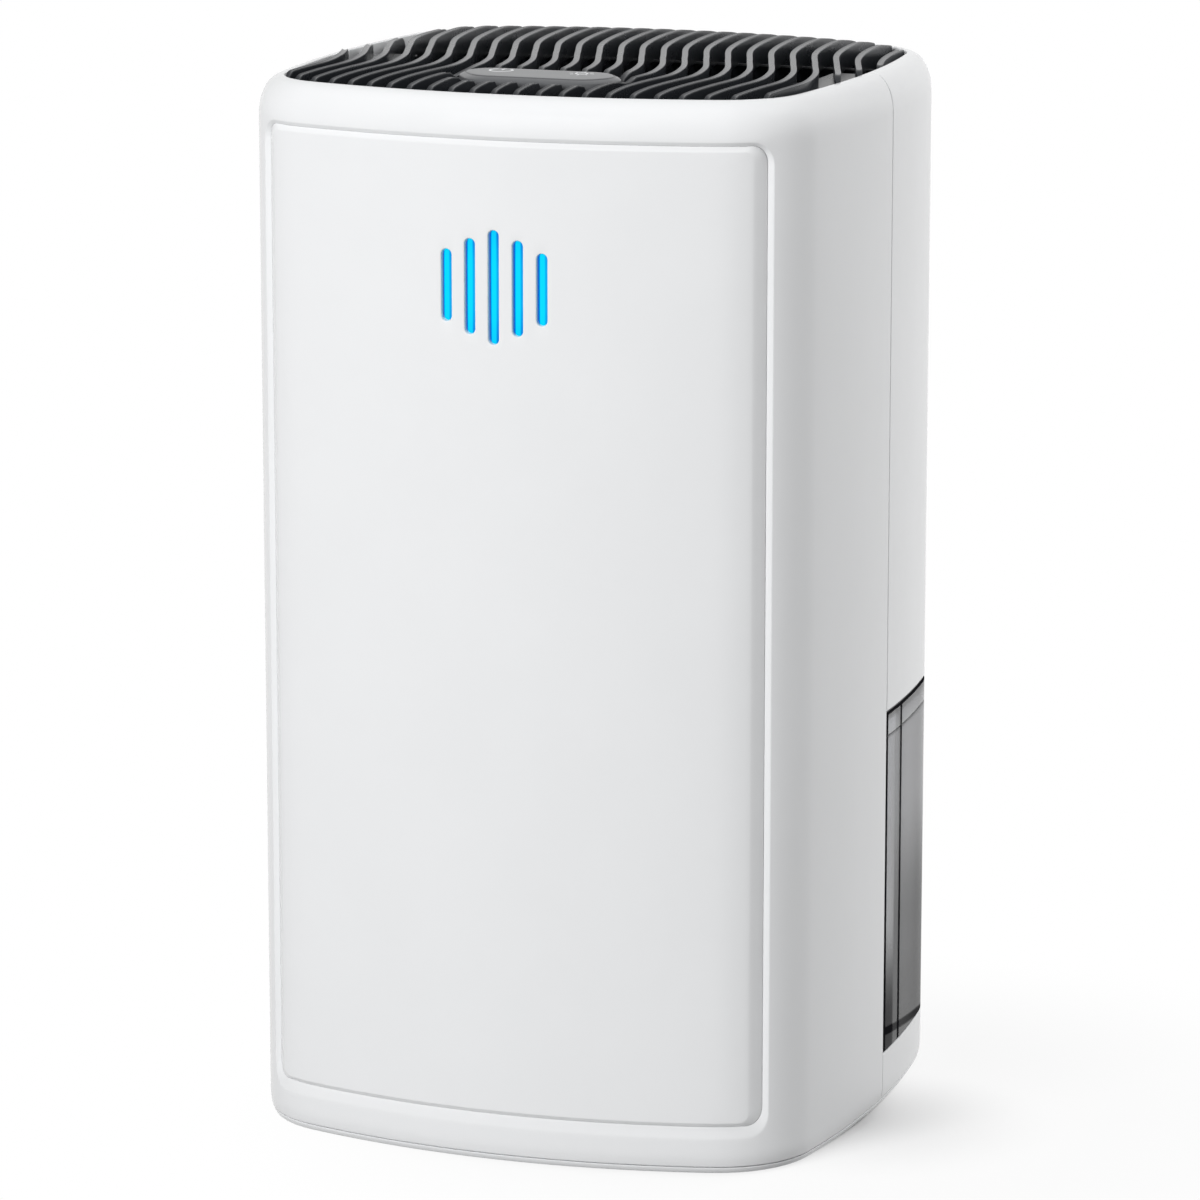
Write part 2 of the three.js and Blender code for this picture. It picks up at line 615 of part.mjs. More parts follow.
// Outline of the touch pad: an elongated hexagon with rounded corners, grown by a margin.
function padShape(margin = 0) {
  const corners = [
    [-PAD_HALF_LENGTH, 0],
    [-PAD_HALF_FLAT, -PAD_HALF_WIDTH],
    [PAD_HALF_FLAT, -PAD_HALF_WIDTH],
    [PAD_HALF_LENGTH, 0],
    [PAD_HALF_FLAT, PAD_HALF_WIDTH],
    [-PAD_HALF_FLAT, PAD_HALF_WIDTH],
  ];
  const grown = corners.map(([x, y]) => new THREE.Vector2(
    x * (1 + margin / PAD_HALF_LENGTH),
    y * (1 + margin / PAD_HALF_WIDTH) + PAD_Y,
  ));
  return roundedPolygon(grown, 7);
}

// A convex polygon with each corner replaced by a short curve.
function roundedPolygon(corners, reach, steps = 4) {
  return corners.flatMap((corner, i) => {
    const before = corners[(i + corners.length - 1) % corners.length];
    const after = corners[(i + 1) % corners.length];
    const start = corner.clone().add(before.clone().sub(corner).setLength(reach));
    const end = corner.clone().add(after.clone().sub(corner).setLength(reach));
    return new THREE.QuadraticBezierCurve(start, corner, end).getPoints(steps);
  });
}

const padStack = (levels) => loft(levels.map(([margin, z]) => ({ points: padShape(margin), z })));
const PAD_FOOT_Z = PAD_TOP_Z - PAD_THICK;
const GRILLE_RIB_Z = GRILLE_TOP_Z - 1.5;

function topGrille() {
  const ringOutside = slab(GRILLE_IN, LEDGE_Z + GAP, GRILLE_TOP_Z);
  const opening = slab(GRILLE_IN + GRILLE_RING, LEDGE_Z - 1, RIM_Z + 20);
  const ring = cut(ringOutside, opening);
  const drifts = LOUVRE_WAVE.map(([, drift]) => drift);
  const first = Math.ceil((-openingHalf - LOUVRE_SHIFT - Math.max(...drifts)) / LOUVRE_PITCH);
  const last = Math.floor((openingHalf - LOUVRE_SHIFT - Math.min(...drifts)) / LOUVRE_PITCH);
  const shifts = Array.from({ length: last - first + 1 }, (_, i) => {
    return LOUVRE_SHIFT + (first + i) * LOUVRE_PITCH;
  });
  const inside = slab(GRILLE_IN + GRILLE_RING / 2, LEDGE_Z, RIM_Z + 20);
  const louvres = join(...shifts.map((shift) => louvre(shift))).intersect(inside);
  const ribs = GRILLE_RIBS.map((y) => block(-REACH, REACH, y, y + 2, GRILLE_RIB_Z - 6, GRILLE_RIB_Z));
  const seat = padStack([[0, GRILLE_RIB_Z - 6], [0, PAD_FOOT_Z - GAP]]);
  const seatHollow = padStack([
    [-PAD_SEAT_WALL, GRILLE_RIB_Z - 7],
    [-PAD_SEAT_WALL, PAD_FOOT_Z - GAP - 2],
  ]);
  const padRoom = padStack([[GAP, PAD_FOOT_Z - GAP], [GAP, PAD_TOP_Z + 10]]);
  return cut(join(ring, louvres, join(...ribs).intersect(inside), seat), seatHollow, padRoom);
}

function controlPad() {
  return padStack([
    [0, PAD_FOOT_Z],
    [0, PAD_TOP_Z - PAD_CHAMFER + 0.6],
    [-PAD_CHAMFER, PAD_TOP_Z],
  ]);
}

function touchBoard() {
  const top = PAD_FOOT_Z - GAP - 2 - GAP;
  return padStack([[-PAD_SEAT_WALL - GAP, top - 1.6], [-PAD_SEAT_WALL - GAP, top]]);
}

// ---------------------------------------------------------------- tank and its bay
const LID_Z = TANK_TOP_Z - LID_HEIGHT;

// Plan of the vessel: the housing's plan cut off at the tank's front, with rounded front corners.
function vesselPlan(inset) {
  const radius = TANK_CORNER - inset;
  const centreY = TANK_FRONT + TANK_CORNER;
  const side = sideAt(centreY, inset);
  const corner = arc({ x: side - radius, y: centreY }, radius, 1.5 * Math.PI, 2 * Math.PI, 6);
  const back = plan(inset).filter((p) => p.y > centreY + 3);
  return [...corner, ...back, ...corner.map((p) => new THREE.Vector2(-p.x, p.y)).reverse()];
}

const vessel = (profile) => loft(profile.map(([inset, z]) => ({ points: vesselPlan(inset), z })));

// Room of the hand grip in the back of the tank, grown by a margin.
function gripRoom(margin) {
  const halfHeight = (GRIP_HIGH - GRIP_LOW) / 2 + margin;
  const outline = plate(0, (GRIP_LOW + GRIP_HIGH) / 2, GRIP_HALF + margin, halfHeight, GRIP_CORNER + margin);
  return prismAlongY(outline, HALF_DEPTH - GRIP_DEPTH - margin, REACH, 4);
}
const earPlaces = [-1, 1].map((side) => FLOAT_X + side * (FLOAT_HALF + 2.5));

function tank() {
  const outside = vessel([[0, TANK_FLOOR_Z], [0, LID_Z - GAP]]);
  const floor = TANK_FLOOR_Z + TANK_FLOOR;
  const filletLevels = [0, 45, 90].map((degrees) => {
    const angle = THREE.MathUtils.degToRad(degrees);
    const inset = TANK_WALL + TANK_INNER_FILLET * (1 - Math.sin(angle));
    return [inset, floor + TANK_INNER_FILLET * (1 - Math.cos(angle))];
  });
  const inside = vessel([...filletLevels, [TANK_WALL, LID_Z + 1]]);
  const wings = cut(slab(0, TANK_FLOOR_Z, LID_Z - GAP), slab(TANK_WALL, 0, TANK_TOP_Z))
    .intersect(behind(TANK_FRONT))
    .intersect(ahead(TANK_FRONT + TANK_CORNER + 6));
  const earBack = TANK_FRONT + TANK_WALL / 2;
  const ears = earPlaces.map((x) => cut(
    join(
      block(x - 1, x + 1, earBack, FLOAT_PIVOT_Y, FLOAT_PIVOT_Z - 4, FLOAT_PIVOT_Z + 4),
      rodAlongX(FLOAT_PIVOT_Y, FLOAT_PIVOT_Z, x - 1, x + 1, 4),
    ),
    rodAlongX(FLOAT_PIVOT_Y, FLOAT_PIVOT_Z, x - 2, x + 2, FLOAT_PIN + GAP),
  ));
  return join(cut(outside, gripRoom(0), cut(inside, gripRoom(TANK_WALL))), wings, ...ears);
}

function tankLid() {
  const hollow = slab(TANK_WALL, LID_Z - 1, TANK_TOP_Z - TANK_WALL);
  const cap = cut(
    slab(0, LID_Z, TANK_TOP_Z).intersect(behind(TANK_FRONT)),
    hollow.intersect(behind(TANK_FRONT + TANK_WALL)),
  );
  const lip = cut(
    vessel([[TANK_WALL + GAP, LID_Z - 4], [TANK_WALL + GAP, TANK_TOP_Z - 1]]),
    vessel([[2 * TANK_WALL, LID_Z - 5], [2 * TANK_WALL, TANK_TOP_Z - TANK_WALL]]),
  );
  const foot = TANK_TOP_Z - 3 * TANK_WALL;
  const funnel = post(0, DRIP_Y, foot, TANK_TOP_Z, DRIP_RADIUS + 3, 2 * DRIP_RADIUS + 3);
  const funnelRoom = post(0, DRIP_Y, foot - 0.1, TANK_TOP_Z + 0.1, DRIP_RADIUS, 2 * DRIP_RADIUS);
  return cut(join(cap, lip, funnel), funnelRoom);
}

function tankFloat() {
  const nearY = FLOAT_PIVOT_Y + 8;
  const body = plate(FLOAT_X, (nearY + FLOAT_FAR_Y) / 2, FLOAT_HALF, (FLOAT_FAR_Y - nearY) / 2, 4);
  const topZ = FLOAT_PIVOT_Z + 2;
  const arm = block(FLOAT_X - FLOAT_HALF + 2, FLOAT_X + FLOAT_HALF - 2,
    FLOAT_PIVOT_Y - 1, nearY + 4, FLOAT_PIVOT_Z - 2, topZ);
  const pin = rodAlongX(FLOAT_PIVOT_Y, FLOAT_PIVOT_Z, earPlaces[0] - 1, earPlaces[1] + 1, FLOAT_PIN);
  const magnetRoom = MAGNET_RADIUS + GAP;
  return cut(
    join(prism(body, FLOAT_LOW_Z, topZ, 4), arm, pin),
    post(FLOAT_X, MAGNET_Y, topZ - MAGNET_THICK - GAP, topZ + 1, magnetRoom, magnetRoom, 16),
  );
}

function floatMagnet() {
  const topZ = FLOAT_PIVOT_Z + 2;
  return post(FLOAT_X, MAGNET_Y, topZ - MAGNET_THICK, topZ, MAGNET_RADIUS, MAGNET_RADIUS, 16);
}

const BAY_IN = WALL + GAP;
const BAY_Y = SIDE_SEAM_Y - 1.2 - BAY_WALL;
const BAY_CEILING_Z = SEAL_Z + 0.5;
const BOARD_Y = -8;
const BOARD_BOX = [-15, 85, 36, 116];
const boardPosts = [BOARD_BOX[0] + 5, BOARD_BOX[1] - 5].flatMap((x) => {
  return [BOARD_BOX[2] + 5, BOARD_BOX[3] - 5].map((z) => [x, z]);
});

function tankBay() {
  const side = sideAt(BAY_Y, BAY_IN + GAP);
  const divider = block(-side, side, BAY_Y, BAY_Y + BAY_WALL, DECK_Z + GAP, BAY_CEILING_Z + 1);
  const ceiling = slab(BAY_IN, BAY_CEILING_Z, BAY_CEILING_Z + BAY_WALL).intersect(behind(BAY_Y));
  const posts = boardPosts.map(([x, z]) => rodAlongY(x, z, BOARD_Y + 1.6 + GAP, BAY_Y + 1, 3, 12));
  const spoutRoom = post(0, DRIP_Y, SEAL_Z, TANK_TOP_Z + 10, SPOUT_RADIUS + GAP);
  return cut(join(divider, ceiling, ...posts), spoutRoom);
}

// ---------------------------------------------------------------- cooling engine
const BAY_TOP_Z = BAY_CEILING_Z + BAY_WALL;
const COLD_Y = PARTITION_Y + PARTITION_THICK + GAP;
const HOT_Y = PARTITION_Y - GAP;
const screwPlaces = [-1, 1].flatMap((x) => {
  return [-1, 1].map((z) => [x * (COLD_HALF - 3), ENGINE_Z + z * (COLD_HEIGHT / 2 - 8)]);
});

// Extruded heat sink: a plate with fins standing towards direction, each fin upright.
function finBlock(half, faceY, direction, depth, low, high) {
  const fins = Math.floor((2 * half - FIN) / FIN_PITCH) + 1;
  const first = -((fins - 1) * FIN_PITCH) / 2;
  const plateY = faceY + direction * SINK_PLATE;
  const tipY = faceY + direction * depth;
  const start = [[-half, faceY], [half, faceY], [half, plateY]];
  const shape = new THREE.Shape(start.map(([x, y]) => new THREE.Vector2(x, y)));
  for (let i = fins - 1; i >= 0; i--) {
    const x = first + i * FIN_PITCH;
    shape.lineTo(x + FIN / 2, plateY);
    shape.lineTo(x + FIN / 2, tipY);
    shape.lineTo(x - FIN / 2, tipY);
    shape.lineTo(x - FIN / 2, plateY);
  }
  shape.lineTo(-half, plateY);
  return prism(shape, low, high);
}

const clampRoom = screwPlaces.map(([x, z]) => rodAlongY(x, z, -20, 40, SCREW_SHANK + GAP, 8));
const clampHeadRoom = screwPlaces.map(([x, z]) => {
  return rodAlongY(x, z, COLD_Y + SINK_PLATE - 0.1, 90, SCREW_HEAD + GAP, 12);
});

function coldSink() {
  const half = COLD_HEIGHT / 2;
  const fins = finBlock(COLD_HALF, COLD_Y, 1, COLD_DEPTH, ENGINE_Z - half, ENGINE_Z + half);
  return cut(fins, ...clampRoom, ...clampHeadRoom);
}

function hotSink() {
  const half = HOT_HEIGHT / 2;
  const fins = finBlock(HOT_HALF, HOT_Y, -1, HOT_DEPTH, ENGINE_Z - half, ENGINE_Z + half);
  const blindHoles = screwPlaces.map(([x, z]) => {
    return rodAlongY(x, z, HOT_Y - SINK_PLATE + 1, 40, SCREW_SHANK + GAP, 8);
  });
  return cut(fins, ...blindHoles);
}

function clampScrew([x, z]) {
  return join(
    rodAlongY(x, z, COLD_Y + SINK_PLATE + GAP, COLD_Y + SINK_PLATE + GAP + 2, SCREW_HEAD, 12),
    rodAlongY(x, z, HOT_Y - SINK_PLATE + 1 + GAP, COLD_Y + SINK_PLATE + 1, SCREW_SHANK, 8),
  );
}

function coolingModule(side) {
  const half = MODULE_SIZE / 2;
  const x = side * MODULE_X;
  return block(x - half, x + half, PARTITION_Y, PARTITION_Y + PARTITION_THICK,
    ENGINE_Z - half, ENGINE_Z + half);
}

const GASKET_HALF = COLD_HALF - 6;
const GASKET_HALF_HEIGHT = MODULE_SIZE / 2 + 10;

function foamGasket() {
  const half = MODULE_SIZE / 2 + GAP;
  const rooms = [-1, 1].map((side) => {
    const x = side * MODULE_X;
    return block(x - half, x + half, 0, 40, ENGINE_Z - half, ENGINE_Z + half);
  });
  const outer = block(-GASKET_HALF, GASKET_HALF, PARTITION_Y, PARTITION_Y + PARTITION_THICK,
    ENGINE_Z - GASKET_HALF_HEIGHT, ENGINE_Z + GASKET_HALF_HEIGHT);
  return cut(outer, ...rooms);
}

function partition() {
  const side = sideAt(PARTITION_Y + PARTITION_THICK, BAY_IN);
  const sheet = block(-side, side, PARTITION_Y, PARTITION_Y + PARTITION_THICK,
    BAY_TOP_Z + GAP, PARTITION_TOP_Z);
  const room = block(-GASKET_HALF - GAP, GASKET_HALF + GAP, 0, 40,
    ENGINE_Z - GASKET_HALF_HEIGHT - GAP, ENGINE_Z + GASKET_HALF_HEIGHT + GAP);
  return cut(sheet, room, ...clampRoom);
}

function dripTray() {
  const halfY = COLD_DEPTH / 2 + 3;
  const middleY = COLD_Y + GAP + halfY;
  const wall = 1.8;
  const levels = (inset, low, high) => {
    const bore = SPOUT_RADIUS - inset;
    const spout = plate(0, DRIP_Y, bore, bore, bore - 0.01).getPoints(2);
    const pan = plate(0, middleY, COLD_HALF + 5 - inset, halfY - inset, 5 - inset).getPoints(2);
    return loft([
      { points: spout, z: low },
      { points: spout, z: BAY_TOP_Z + 2 + inset },
      { points: pan, z: BAY_TOP_Z + 9 + inset },
      { points: pan, z: high },
    ]);
  };
  const top = ENGINE_Z - COLD_HEIGHT / 2 - 3;
  const collar = post(0, DRIP_Y, BAY_TOP_Z + GAP, BAY_TOP_Z + 6, SPOUT_RADIUS + 3, SPOUT_RADIUS + 3);
  return cut(join(levels(0, TANK_TOP_Z + 0.6, top), collar), levels(wall, TANK_TOP_Z - 1, top + 1));
}

// ---------------------------------------------------------------- fan
const FAN_DECK_Z = DECK_LEDGE_Z + GAP;
const FAN_Z = FAN_DECK_Z + FAN_DECK + GAP;
const FAN_MOUNT = 2.6;
const fanScrewPlaces = [-1, 1].flatMap((x) => [-1, 1].map((y) => [x * FAN_SCREW_SPAN, y * FAN_SCREW_SPAN]));
const fanScrewRoom = fanScrewPlaces.map(([x, y]) => {
  const bore = SCREW_SHANK + GAP;
  return post(x, y, FAN_DECK_Z - 5, FAN_Z + FAN_HEIGHT + 5, bore, bore, 8);
});

function fanDeck() {
  const sheet = slab(WALL + 4, FAN_DECK_Z, FAN_DECK_Z + FAN_DECK);
  const notch = block(-LED_ROOM_HALF - 11, LED_ROOM_HALF + 11, -REACH, LED_BOARD_Y + 5, 0, RIM_Z);
  const inlet = post(0, 0, FAN_DECK_Z - 1, FAN_DECK_Z + 9, FAN_BORE, FAN_BORE, 40);
  return cut(sheet, notch, inlet, ...fanScrewRoom);
}

function fanFrame() {
  const top = FAN_Z + FAN_HEIGHT;
  const half = FAN_SIZE / 2;
  const bore = post(0, 0, FAN_Z - 1, top + 1, FAN_BORE, FAN_BORE, 40);
  const casing = cut(prism(plate(0, 0, half, half, 7), FAN_Z, top, 3), bore, ...fanScrewRoom);
  const arms = [0, 1, 2, 3].map((i) => {
    const arm = new THREE.BoxGeometry(FAN_BORE - 6, 4, FAN_MOUNT);
    arm.translate(FAN_BORE / 2 + 7, 0, FAN_Z + FAN_MOUNT / 2);
    return solid(arm.rotateZ((i * Math.PI) / 2 + 0.5));
  });
  const motor = post(0, 0, FAN_Z, FAN_Z + FAN_MOUNT, FAN_HUB - 1);
  const bearing = cut(
    post(0, 0, FAN_Z + 1, top - 8, 4, 4, 16),
    post(0, 0, FAN_Z + FAN_MOUNT, top, FAN_SHAFT + GAP, FAN_SHAFT + GAP, 16),
  );
  return join(casing, ...arms, motor, bearing);
}

// One blade: sections from hub to tip whose pitch flattens outwards.
function fanBlade(turn) {
  const low = FAN_Z + FAN_MOUNT + 1.5;
  const high = FAN_Z + FAN_HEIGHT - 2;
  const rings = [FAN_HUB - 1.5, (FAN_HUB + FAN_TIP) / 2, FAN_TIP].map((radius) => {
    const share = (radius - FAN_HUB) / (FAN_TIP - FAN_HUB);
    const sweep = (34 + 4 * share) / 2;
    const rise = (high - low) * (1 - 0.35 * share);
    const middle = (low + high) / 2;
    const point = (along, lift) => {
      const angle = turn + THREE.MathUtils.degToRad(sweep * along * (1 - 0.25 * share));
      return [radius * Math.cos(angle), radius * Math.sin(angle), middle + (rise / 2) * along + lift];
    };
    const under = [point(-1, -0.9), point(0, -2.7), point(1, -0.9)];
    return [...under, point(1, 0.6), point(0, -0.6), point(-1, 0.6)];
  });
  return skin(rings, [[0, 1, 5], [1, 4, 5], [1, 2, 4], [2, 3, 4]]);
}

function fanRotor() {
  const low = FAN_Z + FAN_MOUNT + 0.6;
  const top = FAN_Z + FAN_HEIGHT - 1;
  const hub = cut(
    post(0, 0, low, top, FAN_HUB, FAN_HUB - 0.6, 30),
    post(0, 0, low - 1, top - 2, FAN_HUB - 2, FAN_HUB - 2.6, 30),
  );
  const shaft = post(0, 0, FAN_Z + FAN_MOUNT + GAP, top - 1, FAN_SHAFT, FAN_SHAFT, 16);
  const blades = Array.from({ length: FAN_BLADES }, (_, i) => fanBlade((i * 2 * Math.PI) / FAN_BLADES));
  const middle = post(0, 0, low - 20, top + 20, FAN_HUB - 1.3, FAN_HUB - 1.3, 30);
  return join(hub, shaft, cut(join(...blades), middle));
}

function fanScrew([x, y]) {
  const top = FAN_Z + FAN_HEIGHT;
  return join(
    post(x, y, top + GAP, top + GAP + 2, SCREW_HEAD, SCREW_HEAD, 12),
    post(x, y, FAN_DECK_Z + 0.5, top + 1, SCREW_SHANK, SCREW_SHANK, 8),
  );
}

// ---------------------------------------------------------------- electrics
function mainBoard() {
  const [left, right, low, high] = BOARD_BOX;
  const front = BOARD_Y - 0.4;
  const part = (x, z, halfX, halfZ, height) => {
    return block(x - halfX, x + halfX, BOARD_Y - height, BOARD_Y + 0.4, z - halfZ, z + halfZ);
  };
  return join(
    block(left, right, BOARD_Y, BOARD_Y + 1.6, low, high),
    part(10, 62, 14, 12, 22),
    part(44, 100, 12, 9, 14),
    part(66, 60, 9, 16, 4),
    rodAlongY(40, 62, BOARD_Y - 24, front + 1, 7, 16),
    rodAlongY(40, 80, BOARD_Y - 18, front + 1, 5, 12),
    part(12, 96, 8, 5, 9),
  );
}

function reedSwitch() {
  const backY = BAY_Y - GAP;
  return block(FLOAT_X - 3.5, FLOAT_X + 3.5, backY - 4, backY, FLOAT_PIVOT_Z - 6, FLOAT_PIVOT_Z + 12);
}

function dcJack() {
  const wallY = faceAt(Math.abs(JACK_X) + JACK_HALF, SILL_IN) - GAP;
  const noseY = faceAt(JACK_X, 0.6);
  const low = BASE_TOP_Z + GAP;
  const body = block(JACK_X - JACK_HALF, JACK_X + JACK_HALF, wallY - 13, wallY, low, 2 * JACK_Z - low);
  const nose = rodAlongY(JACK_X, JACK_Z, wallY - 2, noseY, JACK_HALF - GAP, 16);
  const bore = rodAlongY(JACK_X, JACK_Z, noseY - 9, noseY + 1, 3, 16);
  const pin = rodAlongY(JACK_X, JACK_Z, noseY - 10, noseY - 1.5, 1, 12);
  return join(cut(join(body, nose), bore), pin);
}

// ---------------------------------------------------------------- the assembly
const looks = {
  whiteGloss: { color: 0xf1f2f3, roughness: 0.22, metalness: 0 },
  darkGrille: { color: 0x4a4d51, roughness: 0.4, metalness: 0 },
  greyPad: { color: 0x85888b, roughness: 0.35, metalness: 0 },
  glow: { color: 0x16cfff, roughness: 0.3, metalness: 0, emissive: 0x10b8ff },
  smoke: { color: 0x3c4045, roughness: 0.12, metalness: 0, transparent: true, opacity: 0.6 },
  black: { color: 0x18191b, roughness: 0.5, metalness: 0 },
  aluminium: { color: 0xc9ccd0, roughness: 0.35, metalness: 1 },
  ceramic: { color: 0xe8e6df, roughness: 0.6, metalness: 0 },
  foam: { color: 0x2b2c2e, roughness: 0.95, metalness: 0 },
  board: { color: 0x1d5a38, roughness: 0.5, metalness: 0 },
  rubber: { color: 0x222325, roughness: 0.9, metalness: 0 },
  steel: { color: 0xb7babd, roughness: 0.3, metalness: 1 },
  floatWhite: { color: 0xf2f2ee, roughness: 0.5, metalness: 0 },
};

const dehumidifier = new THREE.Group();
dehumidifier.name = "dehumidifier";

function add(name, shape, look) {
  const { vertProperties, triVerts } = shape.getMesh();
  const geometry = new THREE.BufferGeometry();
  geometry.setAttribute("position", new THREE.BufferAttribute(vertProperties, 3));
  geometry.setIndex(new THREE.BufferAttribute(triVerts, 1));
  const material = new THREE.MeshStandardMaterial(looks[look]);
  const mesh = new THREE.Mesh(toCreasedNormals(geometry, Math.PI / 7), material);
  mesh.name = name;
  dehumidifier.add(mesh);
}

add("front_housing", frontHousing(), "whiteGloss");
add("rear_housing", rearHousing(), "whiteGloss");
add("base_cover", baseCover(), "whiteGloss");
add("front_panel", frontPanel(), "whiteGloss");
add("light_guide", lightGuide(), "glow");
add("led_board", ledBoard(), "board");
add("top_grille", topGrille(), "darkGrille");
add("control_pad", controlPad(), "greyPad");
add("touch_board", touchBoard(), "board");
add("tank_bay", tankBay(), "black");
add("tank", tank(), "smoke");
add("tank_lid", tankLid(), "smoke");
add("tank_float", tankFloat(), "floatWhite");
add("float_magnet", floatMagnet(), "steel");
add("drip_tray", dripTray(), "black");
add("cold_sink", coldSink(), "aluminium");
add("hot_sink", hotSink(), "aluminium");
add("cooling_module_left", coolingModule(-1), "ceramic");
add("cooling_module_right", coolingModule(1), "ceramic");
add("foam_gasket", foamGasket(), "foam");
add("partition", partition(), "black");
add("fan_deck", fanDeck(), "black");
add("fan_frame", fanFrame(), "black");
add("fan_rotor", fanRotor(), "black");
add("main_board", mainBoard(), "board");
add("reed_switch", reedSwitch(), "ceramic");
add("dc_jack", dcJack(), "black");
feetPlaces.forEach((place, i) => add(`foot_${i + 1}`, foot(place), "rubber"));
[-1, 1].forEach((x, i) => [-1, 1].forEach((y, j) => {
  add(`base_screw_${2 * i + j + 1}`, baseScrew(x, y), "steel");
}));
screwPlaces.forEach((place, i) => add(`clamp_screw_${i + 1}`, clampScrew(place), "steel"));
fanScrewPlaces.forEach((place, i) => add(`fan_screw_${i + 1}`, fanScrew(place), "steel"));

export default dehumidifier;
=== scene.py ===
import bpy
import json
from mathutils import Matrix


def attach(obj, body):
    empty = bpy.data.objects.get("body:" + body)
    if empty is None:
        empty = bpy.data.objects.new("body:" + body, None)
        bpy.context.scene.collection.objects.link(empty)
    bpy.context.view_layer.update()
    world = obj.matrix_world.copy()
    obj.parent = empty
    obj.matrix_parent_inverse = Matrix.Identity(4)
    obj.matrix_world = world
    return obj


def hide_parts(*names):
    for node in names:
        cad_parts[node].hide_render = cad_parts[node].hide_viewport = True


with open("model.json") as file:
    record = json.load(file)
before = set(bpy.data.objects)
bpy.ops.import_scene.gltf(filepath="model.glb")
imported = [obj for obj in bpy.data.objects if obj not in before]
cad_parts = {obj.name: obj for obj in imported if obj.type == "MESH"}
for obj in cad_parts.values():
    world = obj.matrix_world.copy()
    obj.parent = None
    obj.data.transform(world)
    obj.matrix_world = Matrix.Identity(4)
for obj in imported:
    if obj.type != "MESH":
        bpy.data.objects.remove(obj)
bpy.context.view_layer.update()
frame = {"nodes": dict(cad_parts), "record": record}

# Looks of a compact dehumidifier. Lengths are metres, written as millimetres times MM.
# Z is up, the front panel faces -Y and +X is to the right.
import json
import math

import bmesh
import bpy
import numpy as np
from mathutils import Vector

MM = 0.001
PURE_WHITE = (1.0, 1.0, 1.0, 1.0)

# ------------------------------------------------------------------ sizes, in millimetres
FRONT_RADIUS = 274.276
SIDE_RADIUS = 481.235
CORNER_RADIUS = 38.7
FRONT_CENTRE_Y = 164.876
SIDE_CENTRE_X = -370.835
CORNER_CENTRE = (67.5, -60.822)
RIM_Z = 388.0
SHOULDER_IN = 8.4
SHOULDER_DROP = 14.0
FOOT_IN = 3.4
FOOT_RISE = 9.0
LIP = 1.0
FOOT_ROUND = 0.4
WALL = 2.5
THICK_WALL = 6.0  # behind the front panel, out to THICK_HALF
THICK_HALF = 103.0
SILL_IN = 5.0
GAP = 0.3
SEAM_Y = 6.0
BASE_LOW = 0.8
BASE_SEAM_Z = 3.0
LEDGE_IN = 12.0
LEDGE_Z = 375.0
DECK_Z = 20.9
DECK_THICK = 2.2
SEAL_Z = 151.9

CORNER_TURN = math.atan2(CORNER_CENTRE[0], FRONT_CENTRE_Y - CORNER_CENTRE[1])
SIDE_TURN = math.atan2(CORNER_CENTRE[0] - SIDE_CENTRE_X, -CORNER_CENTRE[1])
FRONT_RUN = FRONT_RADIUS * CORNER_TURN
CORNER_END = FRONT_RUN + CORNER_RADIUS * (SIDE_TURN - CORNER_TURN)
QUARTER = CORNER_END + SIDE_RADIUS * (math.pi / 2 - SIDE_TURN)

GROOVE_SIDE = 1.65  # depth along the panel's sides
GROOVE_TOP = 0.975  # depth along its top and foot
GROOVE_TURN = 16.0  # how far round a corner the one changes into the other
GROOVE_EDGE = dict(half=100.85, low=14.0, high=374.1, corner=8.5)  # housing's side of the groove
GROOVE_BOTTOM = dict(half=99.2, low=18.4, high=372.8, corner=6.5)
POCKET_DEPTH = 3.5
PANEL_CREASE = dict(half=93.0, low=19.9, high=370.8, corner=3.5)
PANEL_FOOT = dict(half=99.0, low=18.48, high=372.72, corner=6.5)
PANEL_MIDDLE_Z = 196.0
PANEL_THICK = 3.2

BAR_PITCH = 9.0
BAR_WIDTH = 4.0
BAR_LENGTHS = (25.7, 34.0, 40.6, 34.0, 25.7)
BAR_Z = 320.9
BAR_RECESS = 1.6
BAR_GAP = 0.15
BARS_OFF = 20.5  # pitches that bring every place on the bars above zero, with bars at the halves
WINDOW_HALF = 2.5 * BAR_PITCH
WINDOW_RISE = 24.0

TANK_FRONT = 6.8
TANK_FLOOR_Z = 21.2
TANK_RIM_Z = 142.3
LID_Z = 142.6
LID_UNDER_Z = 148.8
TANK_TOP_Z = 151.0
TANK_WALL = 2.2
TANK_CORNER = 20.0
UPRIGHT_Y = 26.2  # painted shade: the dark line behind the tank's corner
CORNER_BAND = (16.5, 19.5)  # where the corner's shade changes into the flank's
SILL_Z, SILL_FALL = 30.0, 0.12  # painted shade: the dark line along the floor, and its fall to the rear
GRIP = dict(half=42.0, low=108.0, high=132.0, corner=9.0, depth=17.0)
GRIP_FIELD = 47.0
DRIP_Y = 60.0

PAD_Y = -64.0
SIGN_FOOT_Z, SIGN_TOP_Z = 391.3, 391.47

MERGE_DISTANCE, LEAST_EDGE = 2e-6, 1e-7  # metres
# Distances of the grid lines from an edge, in radii of its rounding.
EDGE_STEPS = np.array([0.0, 0.1, 0.3, 0.62, 1.0, 1.4])


